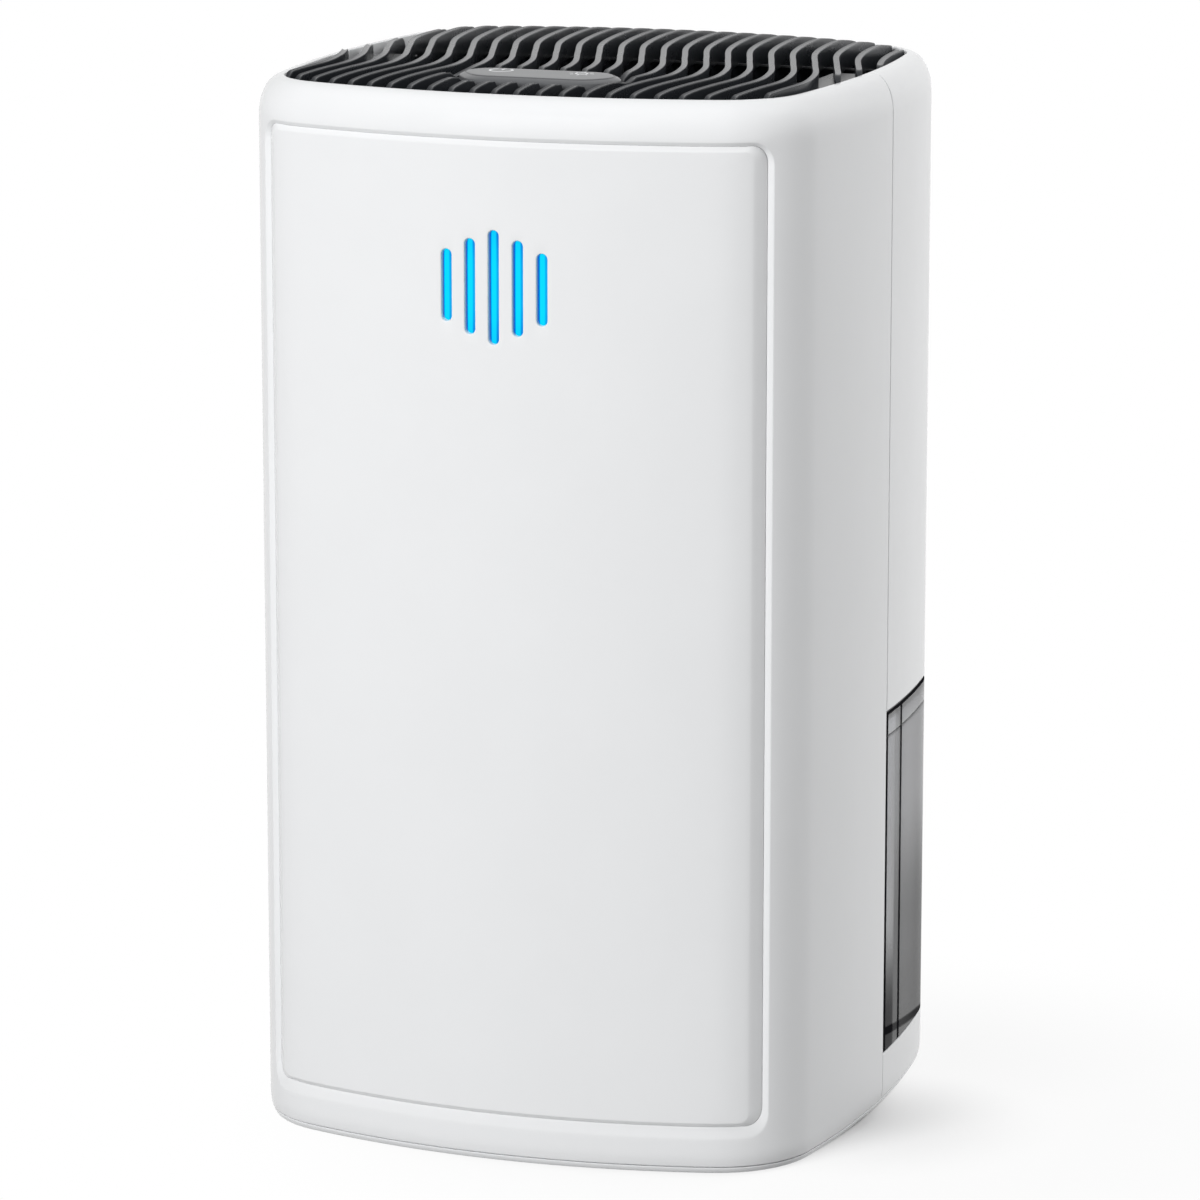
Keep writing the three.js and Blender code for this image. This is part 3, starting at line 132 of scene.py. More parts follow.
# ------------------------------------------------------------------ the camera
def make_camera():
    """Camera in front, above and to the right, shifted so that the object fills the frame."""
    data = bpy.data.cameras.new("camera")
    data.lens = 180.3
    data.sensor_width = 36.0
    data.shift_x = 0.00325
    data.shift_y = 0.05642
    data.clip_start, data.clip_end = 0.05, 50.0
    aim, distance = Vector((-1.635 * MM, 0.0, 161.268 * MM)), 2.245711
    yaw, pitch = math.radians(20.144), math.radians(12.548)
    reach = math.cos(pitch)
    back = Vector((reach * math.sin(yaw), -reach * math.cos(yaw), math.sin(pitch)))
    camera = bpy.data.objects.new("camera", data)
    camera.location = aim + back * distance
    camera.rotation_mode = "QUATERNION"
    camera.rotation_quaternion = (-back).to_track_quat("-Z", "Y")
    bpy.context.scene.collection.objects.link(camera)
    bpy.context.scene.camera = camera


make_camera()


# ------------------------------------------------------------------ shader sums
class Socket:
    """A link in a shader tree that Python's operators work on by adding Math nodes."""

    def __init__(self, tree, link):
        self.tree, self.link = tree, link

    def maths(self, operation, *values):
        values = dict(enumerate(values or (self,)))
        return self.tree.node("ShaderNodeMath", {"operation": operation}, values)

    def __add__(self, other):
        return self.maths("ADD", self, other)

    def __radd__(self, other):
        return self.maths("ADD", self, other)

    def __sub__(self, other):
        return self.maths("SUBTRACT", self, other)

    def __rsub__(self, other):
        return self.maths("SUBTRACT", other, self)

    def __mul__(self, other):
        return self.maths("MULTIPLY", self, other)

    def __rmul__(self, other):
        return self.maths("MULTIPLY", self, other)

    def __truediv__(self, other):
        return self.maths("DIVIDE", self, other)

    def __abs__(self):
        return self.maths("ABSOLUTE")

    def ramp(self, low, high, start=0.0, end=1.0):
        """Smooth step from start to end as this value goes from low to high."""
        settings = {"interpolation_type": "SMOOTHSTEP"}
        values = {"Value": self, "From Min": low, "From Max": high, "To Min": start, "To Max": end}
        return self.tree.node("ShaderNodeMapRange", settings, values)


class Tree:
    """A shader tree, emptied, whose nodes are all added by one method."""

    def __init__(self, owner, output):
        owner.use_nodes = True
        self.tree = owner.node_tree
        self.tree.nodes.clear()
        self.output = self.tree.nodes.new(output)

    def node(self, kind, settings=None, values=None, output=0):
        """A node of this kind: its settings come first, then the values or links of its sockets."""
        made = self.tree.nodes.new(kind)
        for key, value in (settings or {}).items():
            setattr(made, key, value)
        for key, value in (values or {}).items():
            if isinstance(value, Socket):
                self.tree.links.new(value.link, made.inputs[key])
            else:
                made.inputs[key].default_value = value
        return Socket(self, made.outputs[output])

    def show(self, surface):
        """Makes this the shader that the tree puts out."""
        self.tree.links.new(surface.link, self.output.inputs[0])

    def seen(self):
        """Above zero for rays that come from the camera, a reflection or clear plastic."""
        names = ("Is Camera Ray", "Is Glossy Ray", "Is Transmission Ray")
        camera, glossy, clear = (self.node("ShaderNodeLightPath", output=name) for name in names)
        return camera + glossy + clear


class Finish(Tree):
    """A material with one Principled shader. Constants go straight onto its sockets."""

    def __init__(self, name, color=(0.8, 0.8, 0.8), **constants):
        self.material = bpy.data.materials.new(name)
        super().__init__(self.material, "ShaderNodeOutputMaterial")
        self.shader = self.tree.nodes.new("ShaderNodeBsdfPrincipled")
        self.surface = Socket(self, self.shader.outputs[0])
        self.show(self.surface)
        self.shader.inputs["Base Color"].default_value = (*color, 1.0)
        for key, value in constants.items():
            socket = key.replace("_", " ").title().replace("Ior", "IOR")
            self.shader.inputs[socket].default_value = value

    def place(self):
        return self.node("ShaderNodeTexCoord", output="Object")

    def axis(self, name):
        """One coordinate of the point in the object's own frame, in millimetres."""
        return self.node("ShaderNodeSeparateXYZ", values={0: self.place()}, output=name) * (1 / MM)

    def noise(self, size, detail=3.0, stretch=(1.0, 1.0, 1.0)):
        """Soft noise between 0 and 1 whose features are about size millimetres across."""
        mapped = self.node("ShaderNodeMapping", values={"Vector": self.place(), "Scale": stretch})
        values = {"Vector": mapped, "Scale": 1.0 / (size * MM), "Detail": detail}
        return self.node("ShaderNodeTexNoise", values=values)

    def colors(self, share, first, second):
        """Mixes two colours by a share. Each is three numbers or a link."""
        first, second = ((*c, 1.0) if isinstance(c, tuple) else c for c in (first, second))
        values = {0: share, 6: first, 7: second}
        return self.node("ShaderNodeMix", {"data_type": "RGBA"}, values, output=2)

    def shaders(self, share, first, second):
        """Mixes two shaders by a share."""
        return self.node("ShaderNodeMixShader", values={0: share, 1: first, 2: second})

    def diffuse(self, color):
        return self.node("ShaderNodeBsdfDiffuse", values={"Color": (*color, 1.0)})

    def feed(self, name, value):
        self.tree.links.new(value.link, self.shader.inputs[name])

    def bump(self, height, depth):
        """Tilts the surface by a height between 0 and 1 that stands for depth millimetres."""
        values = {"Distance": depth * MM, "Height": height}
        self.feed("Normal", self.node("ShaderNodeBump", values=values))


def moulded(name, color, rough, grain=0.6, depth=0.012, tint=0.06, **constants):
    """Moulded plastic: faint cloudiness in colour, uneven gloss, and a fine grain in the skin."""
    finish = Finish(name, color, **constants)
    cloud = finish.noise(38.0, 4.0)
    darker = tuple(c * (1 - tint) for c in color)
    finish.feed("Base Color", finish.colors(cloud.ramp(0.3, 0.7), color, darker))
    fine = finish.noise(grain, 2.0)
    finish.feed("Roughness", rough * (0.88 + 0.16 * finish.noise(14.0, 5.0) + 0.08 * fine))
    finish.bump(fine, depth)
    return finish


def smoked():
    """Smoked see-through plastic: tinted, with faint flow marks. By its place on the tank it turns
    towards black as painted shade: a painted shadow along the edges, a painted dark line at the
    upright behind the corner and a thin one along the floor, and painted shade low down on the
    corner and over the flank, which darkens downwards and to the rear."""
    finish = Finish("smoked_plastic", ior=1.49, transmission_weight=0.92, specular_ior_level=0.2)
    flow = finish.noise(60.0, 3.0, stretch=(1.0, 1.0, 0.25))
    pale, deep = (0.64, 0.65, 0.68), (0.56, 0.57, 0.6)
    finish.feed("Base Color", finish.colors(flow.ramp(0.3, 0.7), pale, deep))
    finish.feed("Roughness", 0.03 + 0.05 * finish.noise(9.0, 4.0))
    finish.bump(flow, 0.02)
    y, z = finish.axis("Y"), finish.axis("Z")
    # Painted shade: black mixed in at the shadow gap along the front and top edges, at the dark
    # upright and floor lines, low on the corner and over the flank.
    front = 1.0 - y.ramp(TANK_FRONT + 0.8, TANK_FRONT + 1.6)
    upright = (1.0 - abs(y - UPRIGHT_Y).ramp(0.6, 1.9)) * 0.7
    sill = (1.0 - abs(z + SILL_FALL * y - SILL_Z).ramp(1.0, 2.0)) * 0.3
    top = z.ramp(TANK_TOP_Z - 0.9, TANK_TOP_Z - 0.4)
    behind = y.ramp(*CORNER_BAND)
    corner = (0.06 + 0.66 * (1.0 - z.ramp(32.0, 78.0))) * (1.0 - behind)
    flank = 0.42 - 0.2 * z.ramp(65.0, 115.0) + 0.1 * y.ramp(30.0, 60.0) + 0.08 * flow
    share = (front + upright + sill + top + corner + flank * behind).ramp(0.0, 1.0)
    # The black that the painted shade mixes in.
    black = finish.diffuse((0.012, 0.012, 0.014))
    finish.show(finish.shaders(share, finish.surface, black))
    return finish


def glowing():
    """Light guide lit from behind: each bar is cyan along its middle, with painted shade of its
    slot's walls in deeper blue along its left edge and a little deeper along its right edge; it is
    also a little deeper at its ends."""
    constants = dict(roughness=0.3, emission_strength=1.0, specular_ior_level=0.08)
    finish = Finish("cyan_light", (0.0, 0.03, 0.08), **constants)
    height = abs(finish.axis("Z") - BAR_Z)
    across = (finish.axis("X") / BAR_PITCH + BARS_OFF).maths("FRACT")
    # Painted shade of the slot's walls: deeper blue along the left and right edges of each bar.
    left = 1.0 - across.ramp(0.325, 0.385)
    right = across.ramp(0.53, 0.61)
    mottle = finish.noise(5.0, 2.0)
    share = height.ramp(6.0, 22.0) * 0.25 + mottle * 0.1 + left * 0.95 + right * 0.5
    cyan, blue = (0.0, 0.7, 1.0), (0.0, 0.12, 0.6)
    finish.feed("Emission Color", finish.colors(share.ramp(0.0, 1.0), cyan, blue))
    return finish


def metal(name, color, rough, stretch, **constants):
    """Bare metal with drawn lines: noise stretched along the run of the tool."""
    finish = Finish(name, color, metallic=1.0, **constants)
    drawn = finish.noise(1.2, 3.0, stretch=stretch)
    darker = tuple(c * 0.82 for c in color)
    finish.feed("Base Color", finish.colors(drawn, color, darker))
    finish.feed("Roughness", rough * (0.75 + 0.5 * drawn))
    finish.bump(drawn, 0.02)
    return finish


def circuit():
    """Green solder mask with copper tracks: a brick pattern's thin lines under the lacquer."""
    green, deep_green, copper = (0.012, 0.11, 0.045), (0.008, 0.075, 0.03), (0.05, 0.2, 0.06)
    finish = Finish("circuit_board", green, ior=1.5)
    upright = {"Vector": finish.place(), "Rotation": (math.pi / 2, 0, 0)}
    values = {"Vector": finish.node("ShaderNodeMapping", values=upright), "Scale": 420.0}
    tracks = finish.node("ShaderNodeTexBrick", values=values | {"Mortar Size": 0.06}, output="Fac")
    grime = finish.noise(6.0, 3.0)
    mask = finish.colors(grime, green, deep_green)
    finish.feed("Base Color", finish.colors(tracks * 0.6, mask, copper))
    finish.feed("Roughness", 0.35 + 0.15 * grime)
    finish.bump(tracks, 0.03)
    return finish


def speckled(name, color, dark, rough, size, depth):
    """Foam, rubber or fired ceramic: small pores as cells, with painted shade at their bottoms."""
    finish = Finish(name, color)
    values = {"Vector": finish.place(), "Scale": 1.0 / (size * MM)}
    pores = finish.node("ShaderNodeTexVoronoi", values=values, output="Distance")
    # Painted shade: the colour goes darker at the bottoms of the pores.
    finish.feed("Base Color", finish.colors(pores.ramp(0.1, 0.7), dark, color))
    finish.feed("Roughness", rough + 0.1 * finish.noise(4.0))
    finish.bump(pores, depth)
    return finish


WHITE = (0.842, 0.85, 0.86)
STEEL, ALUMINIUM = (0.6, 0.61, 0.62), (0.68, 0.69, 0.71)
finishes = {
    "white_gloss": moulded("white_gloss", WHITE, 0.2, grain=9.0, depth=0.02, tint=0.012),
    "cyan_light": glowing(),
    "dark_grey_plastic": moulded(
        "dark_grey_plastic", (0.02, 0.022, 0.0255), 0.28, grain=0.8, specular_ior_level=0.34
    ),
    "grey_pad": moulded("grey_pad", (0.1, 0.103, 0.108), 0.34, grain=0.8, ior=1.5),
    "black_plastic": moulded("black_plastic", (0.012, 0.012, 0.013), 0.45),
    "smoked_plastic": smoked(),
    "white_float": moulded("white_float", (0.75, 0.75, 0.72), 0.4),
    "sink_aluminium": metal("sink_aluminium", ALUMINIUM, 0.32, (1.0, 1.0, 0.04)),
    "module_ceramic": speckled(
        "module_ceramic", (0.78, 0.77, 0.73), (0.6, 0.59, 0.55), rough=0.5, size=0.7, depth=0.03
    ),
    "black_foam": speckled(
        "black_foam", (0.03, 0.03, 0.031), (0.005, 0.005, 0.005), rough=0.85, size=1.1, depth=0.3
    ),
    "circuit_board": circuit(),
    "foot_rubber": speckled(
        "foot_rubber", (0.028, 0.028, 0.029), (0.018,) * 3, rough=0.78, size=0.6, depth=0.05
    ),
    "bright_steel": metal("bright_steel", STEEL, 0.28, (0.2, 1.0, 1.0)),
    "sign_white": moulded("sign_white", (0.8, 0.81, 0.82), 0.4, grain=0.5),
}


# ------------------------------------------------------------------ outline of the housing
def plan_point(length, inset=0.0):
    """Point of the outline at a length along it from the middle of the front, moved in by inset.

    The outline is four shallow arcs (front, sides, back) joined by four corner arcs. Within each
    the angle grows evenly with length, and inset only makes the arc's radius smaller. The back
    half is the front half mirrored in y.
    """
    length, inset = np.broadcast_arrays(np.asarray(length, float), np.asarray(inset, float))
    run = np.abs(length)
    back = run > QUARTER
    run = np.where(back, 2 * QUARTER - run, run)
    zones = [run < FRONT_RUN, run < CORNER_END]
    centre_x = np.select(zones, [0.0, CORNER_CENTRE[0]], SIDE_CENTRE_X)
    centre_y = np.select(zones, [FRONT_CENTRE_Y, CORNER_CENTRE[1]], 0.0)
    radius = np.select(zones, [FRONT_RADIUS, CORNER_RADIUS], SIDE_RADIUS)
    turn = np.select(
        zones,
        [run / FRONT_RADIUS, CORNER_TURN + (run - FRONT_RUN) / CORNER_RADIUS],
        SIDE_TURN + (run - CORNER_END) / SIDE_RADIUS,
    )
    x = np.where(length < 0, -1.0, 1.0) * (centre_x + (radius - inset) * np.sin(turn))
    y = centre_y - (radius - inset) * np.cos(turn)
    return x, np.where(back, -y, y)


def plan_inset(x, y):
    """How far a point lies inside the outline: the least distance to the shallow arcs, or to the
    corner arc where the point is in that arc's sector."""
    x, y = np.abs(x), -np.abs(y)
    front = FRONT_RADIUS - np.hypot(x, y - FRONT_CENTRE_Y)
    side = SIDE_RADIUS - np.hypot(x - SIDE_CENTRE_X, y)
    dx, dy = x - CORNER_CENTRE[0], CORNER_CENTRE[1] - y
    turn = np.arctan2(dx, dy)
    sector = (turn > CORNER_TURN) & (turn < SIDE_TURN) & (dx > 0) & (dy > 0)
    return np.where(sector, CORNER_RADIUS - np.hypot(dx, dy), np.minimum(front, side))


def skin_inset(z):
    """Inset of the outside at a height: a quarter circle's curve near the foot and a quarter
    ellipse round the shoulder, with the straight wall between them at inset zero."""
    z = np.asarray(z, float)
    foot = FOOT_IN * (1 - np.sqrt(1 - np.clip(1 - z / FOOT_RISE, 0, 1) ** 2))
    rise = np.clip((z - (RIM_Z - SHOULDER_DROP)) / SHOULDER_DROP, 0, 1)
    return foot + SHOULDER_IN * (1 - np.sqrt(1 - rise**2))


def wrap(length, z, depth=0.0, back=False):
    """Points on the housing's skin, depth below it. With back, lengths run from the back's
    middle."""
    length, z, depth = np.broadcast_arrays(*(np.asarray(v, float) for v in (length, z, depth)))
    x, y = plan_point(length, skin_inset(z) + depth)
    return np.stack([x, -y if back else y, z], -1)


def lines(*knots):
    """Grid lines through knots, with even steps between them: knot, count, knot, count, knot..."""
    spans = range(0, len(knots) - 2, 2)
    parts = [np.linspace(knots[i], knots[i + 2], knots[i + 1], endpoint=False) for i in spans]
    return np.concatenate([*parts, [knots[-1]]])


def mirrored(half):
    """Lines from minus the last to the last, from the lines of one half that start at zero."""
    return np.concatenate([-half[:0:-1], half])


def edge_round(distance, radius=0.5):
    """Depth of a rounded edge at a distance from it: a quarter circle, then nothing."""
    near = np.clip(radius - np.asarray(distance, float), 0, radius)
    return radius - np.sqrt(radius**2 - near**2)


def seam_lines(edge, radius=0.5):
    """Lines that crowd towards an edge that is rounded over radius."""
    return edge - radius * EDGE_STEPS[::-1]


def level(plan, z):
    """Flat (x, y) points lifted to a height."""
    return np.column_stack([plan, np.full(len(plan), z)])


def level_rows(along, pairs, back=False):
    """Rows round the outline, one for each (inset, height) pair. An inset may change along a row.
    With back, lengths run from the back's middle."""
    rows = []
    for inset, z in pairs:
        x, y = plan_point(along, inset)
        rows.append(level(np.stack([x, -y if back else y], -1), z))
    return np.array(rows)


def cells(across, up, sides, heights):
    """Which cells of a grid have their middles between two places across and two heights."""
    x, z = (across[1:] + across[:-1]) / 2, (up[1:] + up[:-1]) / 2
    return ((z > heights[0]) & (z < heights[1]))[:, None] & ((x > sides[0]) & (x < sides[1]))[None]


def ease(share, soft=0.1):
    """A slope with a rounded start: half the sum of share and a hyperbola that follows it."""
    return 0.5 * (share + np.sqrt(share**2 + soft**2))


# ------------------------------------------------------------------ loops and grids
def square_loop(xs, zs):
    """Boundary of a grid's cells, anticlockwise from its lowest left corner, as (x, z) pairs."""
    low = np.stack([xs[:-1], np.full(len(xs) - 1, zs[0])], -1)
    right = np.stack([np.full(len(zs) - 1, xs[-1]), zs[:-1]], -1)
    top = np.stack([xs[:0:-1], np.full(len(xs) - 1, zs[-1])], -1)
    left = np.stack([np.full(len(zs) - 1, xs[0]), zs[:0:-1]], -1)
    return np.concatenate([low, right, top, left])


def rounded_side(stations, low, high, radius, steps, reach):
    """One side of a rounded rectangle: the first and last steps points turn through reach on the
    corner arcs, and the rest spread along the straight as the stations do."""
    i = np.arange(len(stations))
    last = len(stations) - 1
    near = reach * np.clip((steps - i) / steps, 0, 1)
    far = reach * np.clip((i - (last - steps)) / steps, 0, 1)
    if last > 2 * steps:
        ends = [stations[steps], stations[last - steps]]
        straight = np.interp(stations, ends, [low + radius, high - radius])
    else:
        straight = np.where(i <= steps, low + radius, high - radius)
    along = straight - radius * np.sin(near) + radius * np.sin(far)
    return along, radius * (1 - np.cos(near + far))


def round_loop(xs, zs, box, radius, steps):
    """Rounded rectangle with one point for each point of square_loop(xs, zs). box is (x0, x1, z0,
    z1) and steps is how many points of each side lie on a corner, (across, up)."""
    x0, x1, z0, z1 = box
    share = math.pi / 2 / (steps[0] + steps[1])
    across, rise = rounded_side(xs, x0, x1, radius, steps[0], share * steps[0])
    up, draw = rounded_side(zs, z0, z1, radius, steps[1], share * steps[1])
    low = np.stack([across, z0 + rise], -1)[:-1]
    right = np.stack([x1 - draw, up], -1)[:-1]
    top = np.stack([across, z1 - rise], -1)[:0:-1]
    left = np.stack([x0 + draw, up], -1)[:0:-1]
    return np.concatenate([low, right, top, left])


def box(x, z, across, up):
    """Sides of a rectangle round a middle, at half its width and half its height from it."""
    return x - across, x + across, z - up, z + up


def frame_loop(xs, zs, size, steps=(6, 6)):
    """Rounded rectangle of a size given by its half width, low and high edge and corner."""
    sides = (-size["half"], size["half"], size["low"], size["high"])
    return round_loop(xs, zs, sides, size["corner"], steps)


def between(first, second, shares):
    """Loops between two loops, at the given shares of the way."""
    shares = np.asarray(shares, float).reshape(-1, 1, 1)
    return first[None] * (1 - shares) + second[None] * shares


def wrap_loops(loops, back=False):
    """Flat loops of (length, height) laid on the skin, from (loop, depth) pairs."""
    return np.array([wrap(loop[:, 0], loop[:, 1], depth, back) for loop, depth in loops])


class Skin:
    """Grids of points in millimetres, gathered into one mesh whose meeting points are merged."""

    def __init__(self):
        self.points, self.faces, self.total = [], [], 0

    def take(self, points):
        self.points.append(np.asarray(points, float).reshape(-1, 3))
        start = self.total
        self.total += len(self.points[-1])
        return start

    def grid(self, points, around=False, along=False, keep=None):
        """A quad for each four neighbours of a (rows, columns, 3) grid. around closes its columns
        and along its rows; keep says which quads are made."""
        rows, columns = points.shape[:2]
        index = self.take(points) + np.arange(rows * columns).reshape(rows, columns)
        if around:
            index = np.concatenate([index, index[:, :1]], 1)
        if along:
            index = np.concatenate([index, index[:1]], 0)
        quads = np.stack([index[:-1, :-1], index[:-1, 1:], index[1:, 1:], index[1:, :-1]], -1)
        self.faces += (quads.reshape(-1, 4) if keep is None else quads[keep]).tolist()

    def cap(self, loop):
        """One face over a closed loop."""
        self.faces.append((self.take(loop) + np.arange(len(loop))).tolist())

    def strip(self, rows, hole=None):
        """Rows joined into a closed section, with a face over each of its ends. hole says which
        quads of the first rows are left out."""
        keep = np.ones((len(rows), rows.shape[1] - 1), bool)
        if hole is not None:
            keep[: len(hole)] = ~hole
        self.grid(rows, along=True, keep=keep)
        self.cap(rows[:, 0])
        self.cap(rows[:, -1])

    def tube(self, loops):
        """Loops joined one after the other, with a face over the first and the last."""
        self.grid(loops, around=True)
        self.cap(loops[0])
        self.cap(loops[-1])

    def disc(self, loop, shares=(0.0, 0.5, 0.9), centre=None):
        """Closes a loop with rings that shrink to its middle."""
        centre = loop.mean(0) if centre is None else np.asarray(centre, float)
        shares = np.asarray([*shares, 1.0]).reshape(-1, 1, 1)
        self.grid(loop[None] * (1 - shares) + centre * shares, around=True)

    def object(self, name, finish, body, sharp=38.0, replaces=()):
        """The mesh as a piece that rides on a body: points merged, faces outwards, smooth shading
        apart from edges sharper than the given angle."""
        mesh = bpy.data.meshes.new(name)
        mesh.from_pydata((np.concatenate(self.points) * MM).tolist(), [], self.faces)
        made = bmesh.new()
        made.from_mesh(mesh)
        bmesh.ops.remove_doubles(made, verts=made.verts, dist=MERGE_DISTANCE)
        bmesh.ops.dissolve_degenerate(made, edges=made.edges, dist=LEAST_EDGE)
        bmesh.ops.recalc_face_normals(made, faces=made.faces)
        made.to_mesh(mesh)
        made.free()
        mesh.shade_smooth()
        mesh.set_sharp_from_angle(angle=math.radians(sharp))
        mesh.materials.append(finishes[finish].material)
        piece = bpy.data.objects.new(name, mesh)
        bpy.context.scene.collection.objects.link(piece)
        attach(piece, body)
        if replaces:
            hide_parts(*replaces)
        return piece


# ------------------------------------------------------------------ housings and panel
HOLE_HALF = 111.0
HOLE_LOW = 10.8
HOLE_HIGH = 378.0
# Lines along the outline from the middle of the front to the edge of the groove's field.
FIELD_SIDE = lines(0, 9, 70, 6, 96.0, 6, HOLE_HALF)
FIELD_ALONG = mirrored(FIELD_SIDE)
FIELD_UP = lines(HOLE_LOW, 6, 26.0, 40, 364.0, 6, HOLE_HIGH)
FRONT_SIDE = lines(HOLE_HALF, 5, CORNER_END, 9, QUARTER + SEAM_Y - GAP / 2 - 1.2)

LIP_IN = SHOULDER_IN + LIP
# The rim as (inset, height): a flat lip with a rounded edge, then the drop to the grille's ledge.
LIP_SECTION = [
    (SHOULDER_IN + 0.3, RIM_Z), (LIP_IN - 0.45, RIM_Z), (LIP_IN - 0.2, RIM_Z - 0.07),
    (LIP_IN - 0.05, RIM_Z - 0.25), (LIP_IN, RIM_Z - 0.5), (LIP_IN, LEDGE_Z + 1.0),
    (LIP_IN, LEDGE_Z), (LEDGE_IN, LEDGE_Z), (LEDGE_IN, LEDGE_Z - 3.0),
]

JACK_SPAN = (53.0, 67.9)  # lengths along the back between which the power inlet lies
JACK_LOW, JACK_HIGH = 4.6, 18.8
# The inlet's recess as (radius, depth): a rounded mouth, a straight wall and a flat floor.
JACK_SECTION = ((5.7, 0.0), (5.45, 0.05), (5.3, 0.2), (5.25, 0.5), (5.25, 2.3), (2.0, 2.3))

INTAKE_LOW = 182.0
INTAKE_PITCH = 9.6
INTAKE_ROWS = 13
INTAKE_FIELD = 74.0
INTAKE_CENTRES = (-37.0, 37.0)
INTAKE_LENGTH = 66.0
INTAKE_WIDTH = 4.4


def groove_depth(flat):
    """Depth of the groove round the panel at (along, up) places: less along its top and foot than
    at its sides, with an even change round the corners."""
    low, high = GROOVE_BOTTOM["low"], GROOVE_BOTTOM["high"]
    beside = np.abs(flat[..., 0]) - GROOVE_BOTTOM["half"]
    above = np.abs(flat[..., 1] - (low + high) / 2) - (high - low) / 2
    share = np.clip((above - beside + GROOVE_TURN / 2) / GROOVE_TURN, 0, 1)
    return GROOVE_SIDE - (GROOVE_SIDE - GROOVE_TOP) * share * share * (3 - 2 * share)


def groove_rings(skin):
    """The housing's slope of the groove, the pocket's wall and its floor, inside the field."""
    edge = frame_loop(FIELD_ALONG, FIELD_UP, GROOVE_EDGE)
    bottom = frame_loop(FIELD_ALONG, FIELD_UP, GROOVE_BOTTOM)
    outer = between(square_loop(FIELD_ALONG, FIELD_UP), edge, [0, 0.3, 0.6])
    slope = np.array([-0.25, -0.1, -0.03, 0.03, 0.1, 0.2, 0.35, 0.6, 0.85, 1.0])
    flat = np.concatenate([outer, between(edge, bottom, slope)])
    share = np.concatenate([np.zeros(len(outer) + 1), ease(slope[1:])])
    depth = share[:, None] * groove_depth(flat)
    skin.grid(wrap(flat[..., 0], flat[..., 1], depth), around=True)
    skin.grid(wrap_loops([(bottom, depth[-1]), (bottom, POCKET_DEPTH)]), around=True)
    middle = np.array([0.0, PANEL_MIDDLE_Z])
    floor = between(bottom, middle, [0, 0.03, 0.1, 0.25, 0.5, 0.75, 1.0])
    skin.grid(wrap(floor[..., 0], floor[..., 1], POCKET_DEPTH), around=True)


def front_housing():
    """Front shell: the skin from seam to seam over the front, its shoulder and lip, and an inner
    wall that thickens behind the panel; then the strip and deck under the tank."""
    skin = Skin()
    edge = QUARTER + SEAM_Y - GAP / 2
    foot = BASE_SEAM_Z + GAP
    along = mirrored(np.concatenate([FIELD_SIDE[:-1], FRONT_SIDE[:-1], seam_lines(edge)]))
    low = [foot + FOOT_ROUND * EDGE_STEPS, lines(4.4, 5, HOLE_LOW)[1:-1]]
    up = np.concatenate([*low, FIELD_UP[:-1], shoulder_heights()])
    side, below = edge_round(edge - np.abs(along)), edge_round(up - foot, FOOT_ROUND)
    behind = np.where(np.abs(along) < THICK_HALF, THICK_WALL, WALL)
    section = np.concatenate([
        wrap(along[None], up[:, None], np.maximum(side[None], below[:, None])),
        level_rows(along, LIP_SECTION),
        level_rows(along, [(behind, z) for z in (362.0, 200.0, 30.0, 16.0)]),
        level_rows(along, [(SILL_IN, foot + 3.0), (SILL_IN, foot)]),
    ])
    skin.strip(section, cells(along, up, (-HOLE_HALF, HOLE_HALF), (HOLE_LOW, HOLE_HIGH)))
    groove_rings(skin)
    tank_strip(skin, edge, foot)
    return skin.object("front_shell", "white_gloss", "housing", replaces=["front_housing"])


def shoulder_heights():
    """Heights up the shoulder, evenly spaced round its curve."""
    angles = np.radians([17, 23, 30, 38, 47, 56, 65, 74, 82, 90])
    angles[0] = math.asin((HOLE_HIGH - RIM_Z + SHOULDER_DROP) / SHOULDER_DROP)
    return RIM_Z - SHOULDER_DROP * (1 - np.sin(angles))


def tank_strip(skin, edge, foot):
    """Strip of skin under the tank with the bay's deck on it: a closed loop of rows up the
    outside, across the top to the chord between its ends, back underneath and down inside. The
    power inlet's recess is let into a square field of it."""
    reach = 2 * QUARTER - edge + 0.02
    first, last = JACK_SPAN
    along = mirrored(lines(0, 8, first, 8, last, 3, FRONT_RUN, 12, CORNER_END, 8, reach))
    deck_edge = DECK_Z - 0.5 * np.array([1.0, 0.55, 0.25, 0.06, 0.0])
    jack_rows = lines(JACK_LOW, 12, JACK_HIGH)
    up = np.concatenate([foot + FOOT_ROUND * EDGE_STEPS[:-1], jack_rows, [20.1], deck_edge])
    depth = np.maximum(edge_round(up - foot, FOOT_ROUND), edge_round(DECK_Z - up))
    outside = wrap(along[None], up[:, None], depth[:, None], back=True)
    rim = outside[-1]
    chord = np.stack([rim[:, 0] * 0.94, np.full(len(along), rim[0, 1] - 3.0), rim[:, 2]], -1)
    deck = between(rim, chord, [0.01, 0.1, 0.3, 0.6, 1.0])
    under = deck[::-1] - [0, 0, DECK_THICK]
    inner = level_rows(along, [(WALL, DECK_Z - DECK_THICK), (SILL_IN, foot)], back=True)
    section = np.concatenate([outside, deck, under[:-1], inner])
    skin.strip(section, cells(along, up, (-last, -first), (JACK_LOW, JACK_HIGH)))
    xs = along[(-along >= first - 0.01) & (-along <= last + 0.01)]
    middle, height = -(first + last) / 2, (JACK_LOW + JACK_HIGH) / 2
    loops = [(square_loop(xs, jack_rows), 0.0)]
    for radius, depth in JACK_SECTION:
        sides = box(middle, height, radius, radius)
        loops.append((round_loop(xs, jack_rows, sides, radius, (4, 6)), depth))
    points = wrap_loops(loops, back=True)
    skin.grid(points, around=True)
    skin.disc(points[-1])


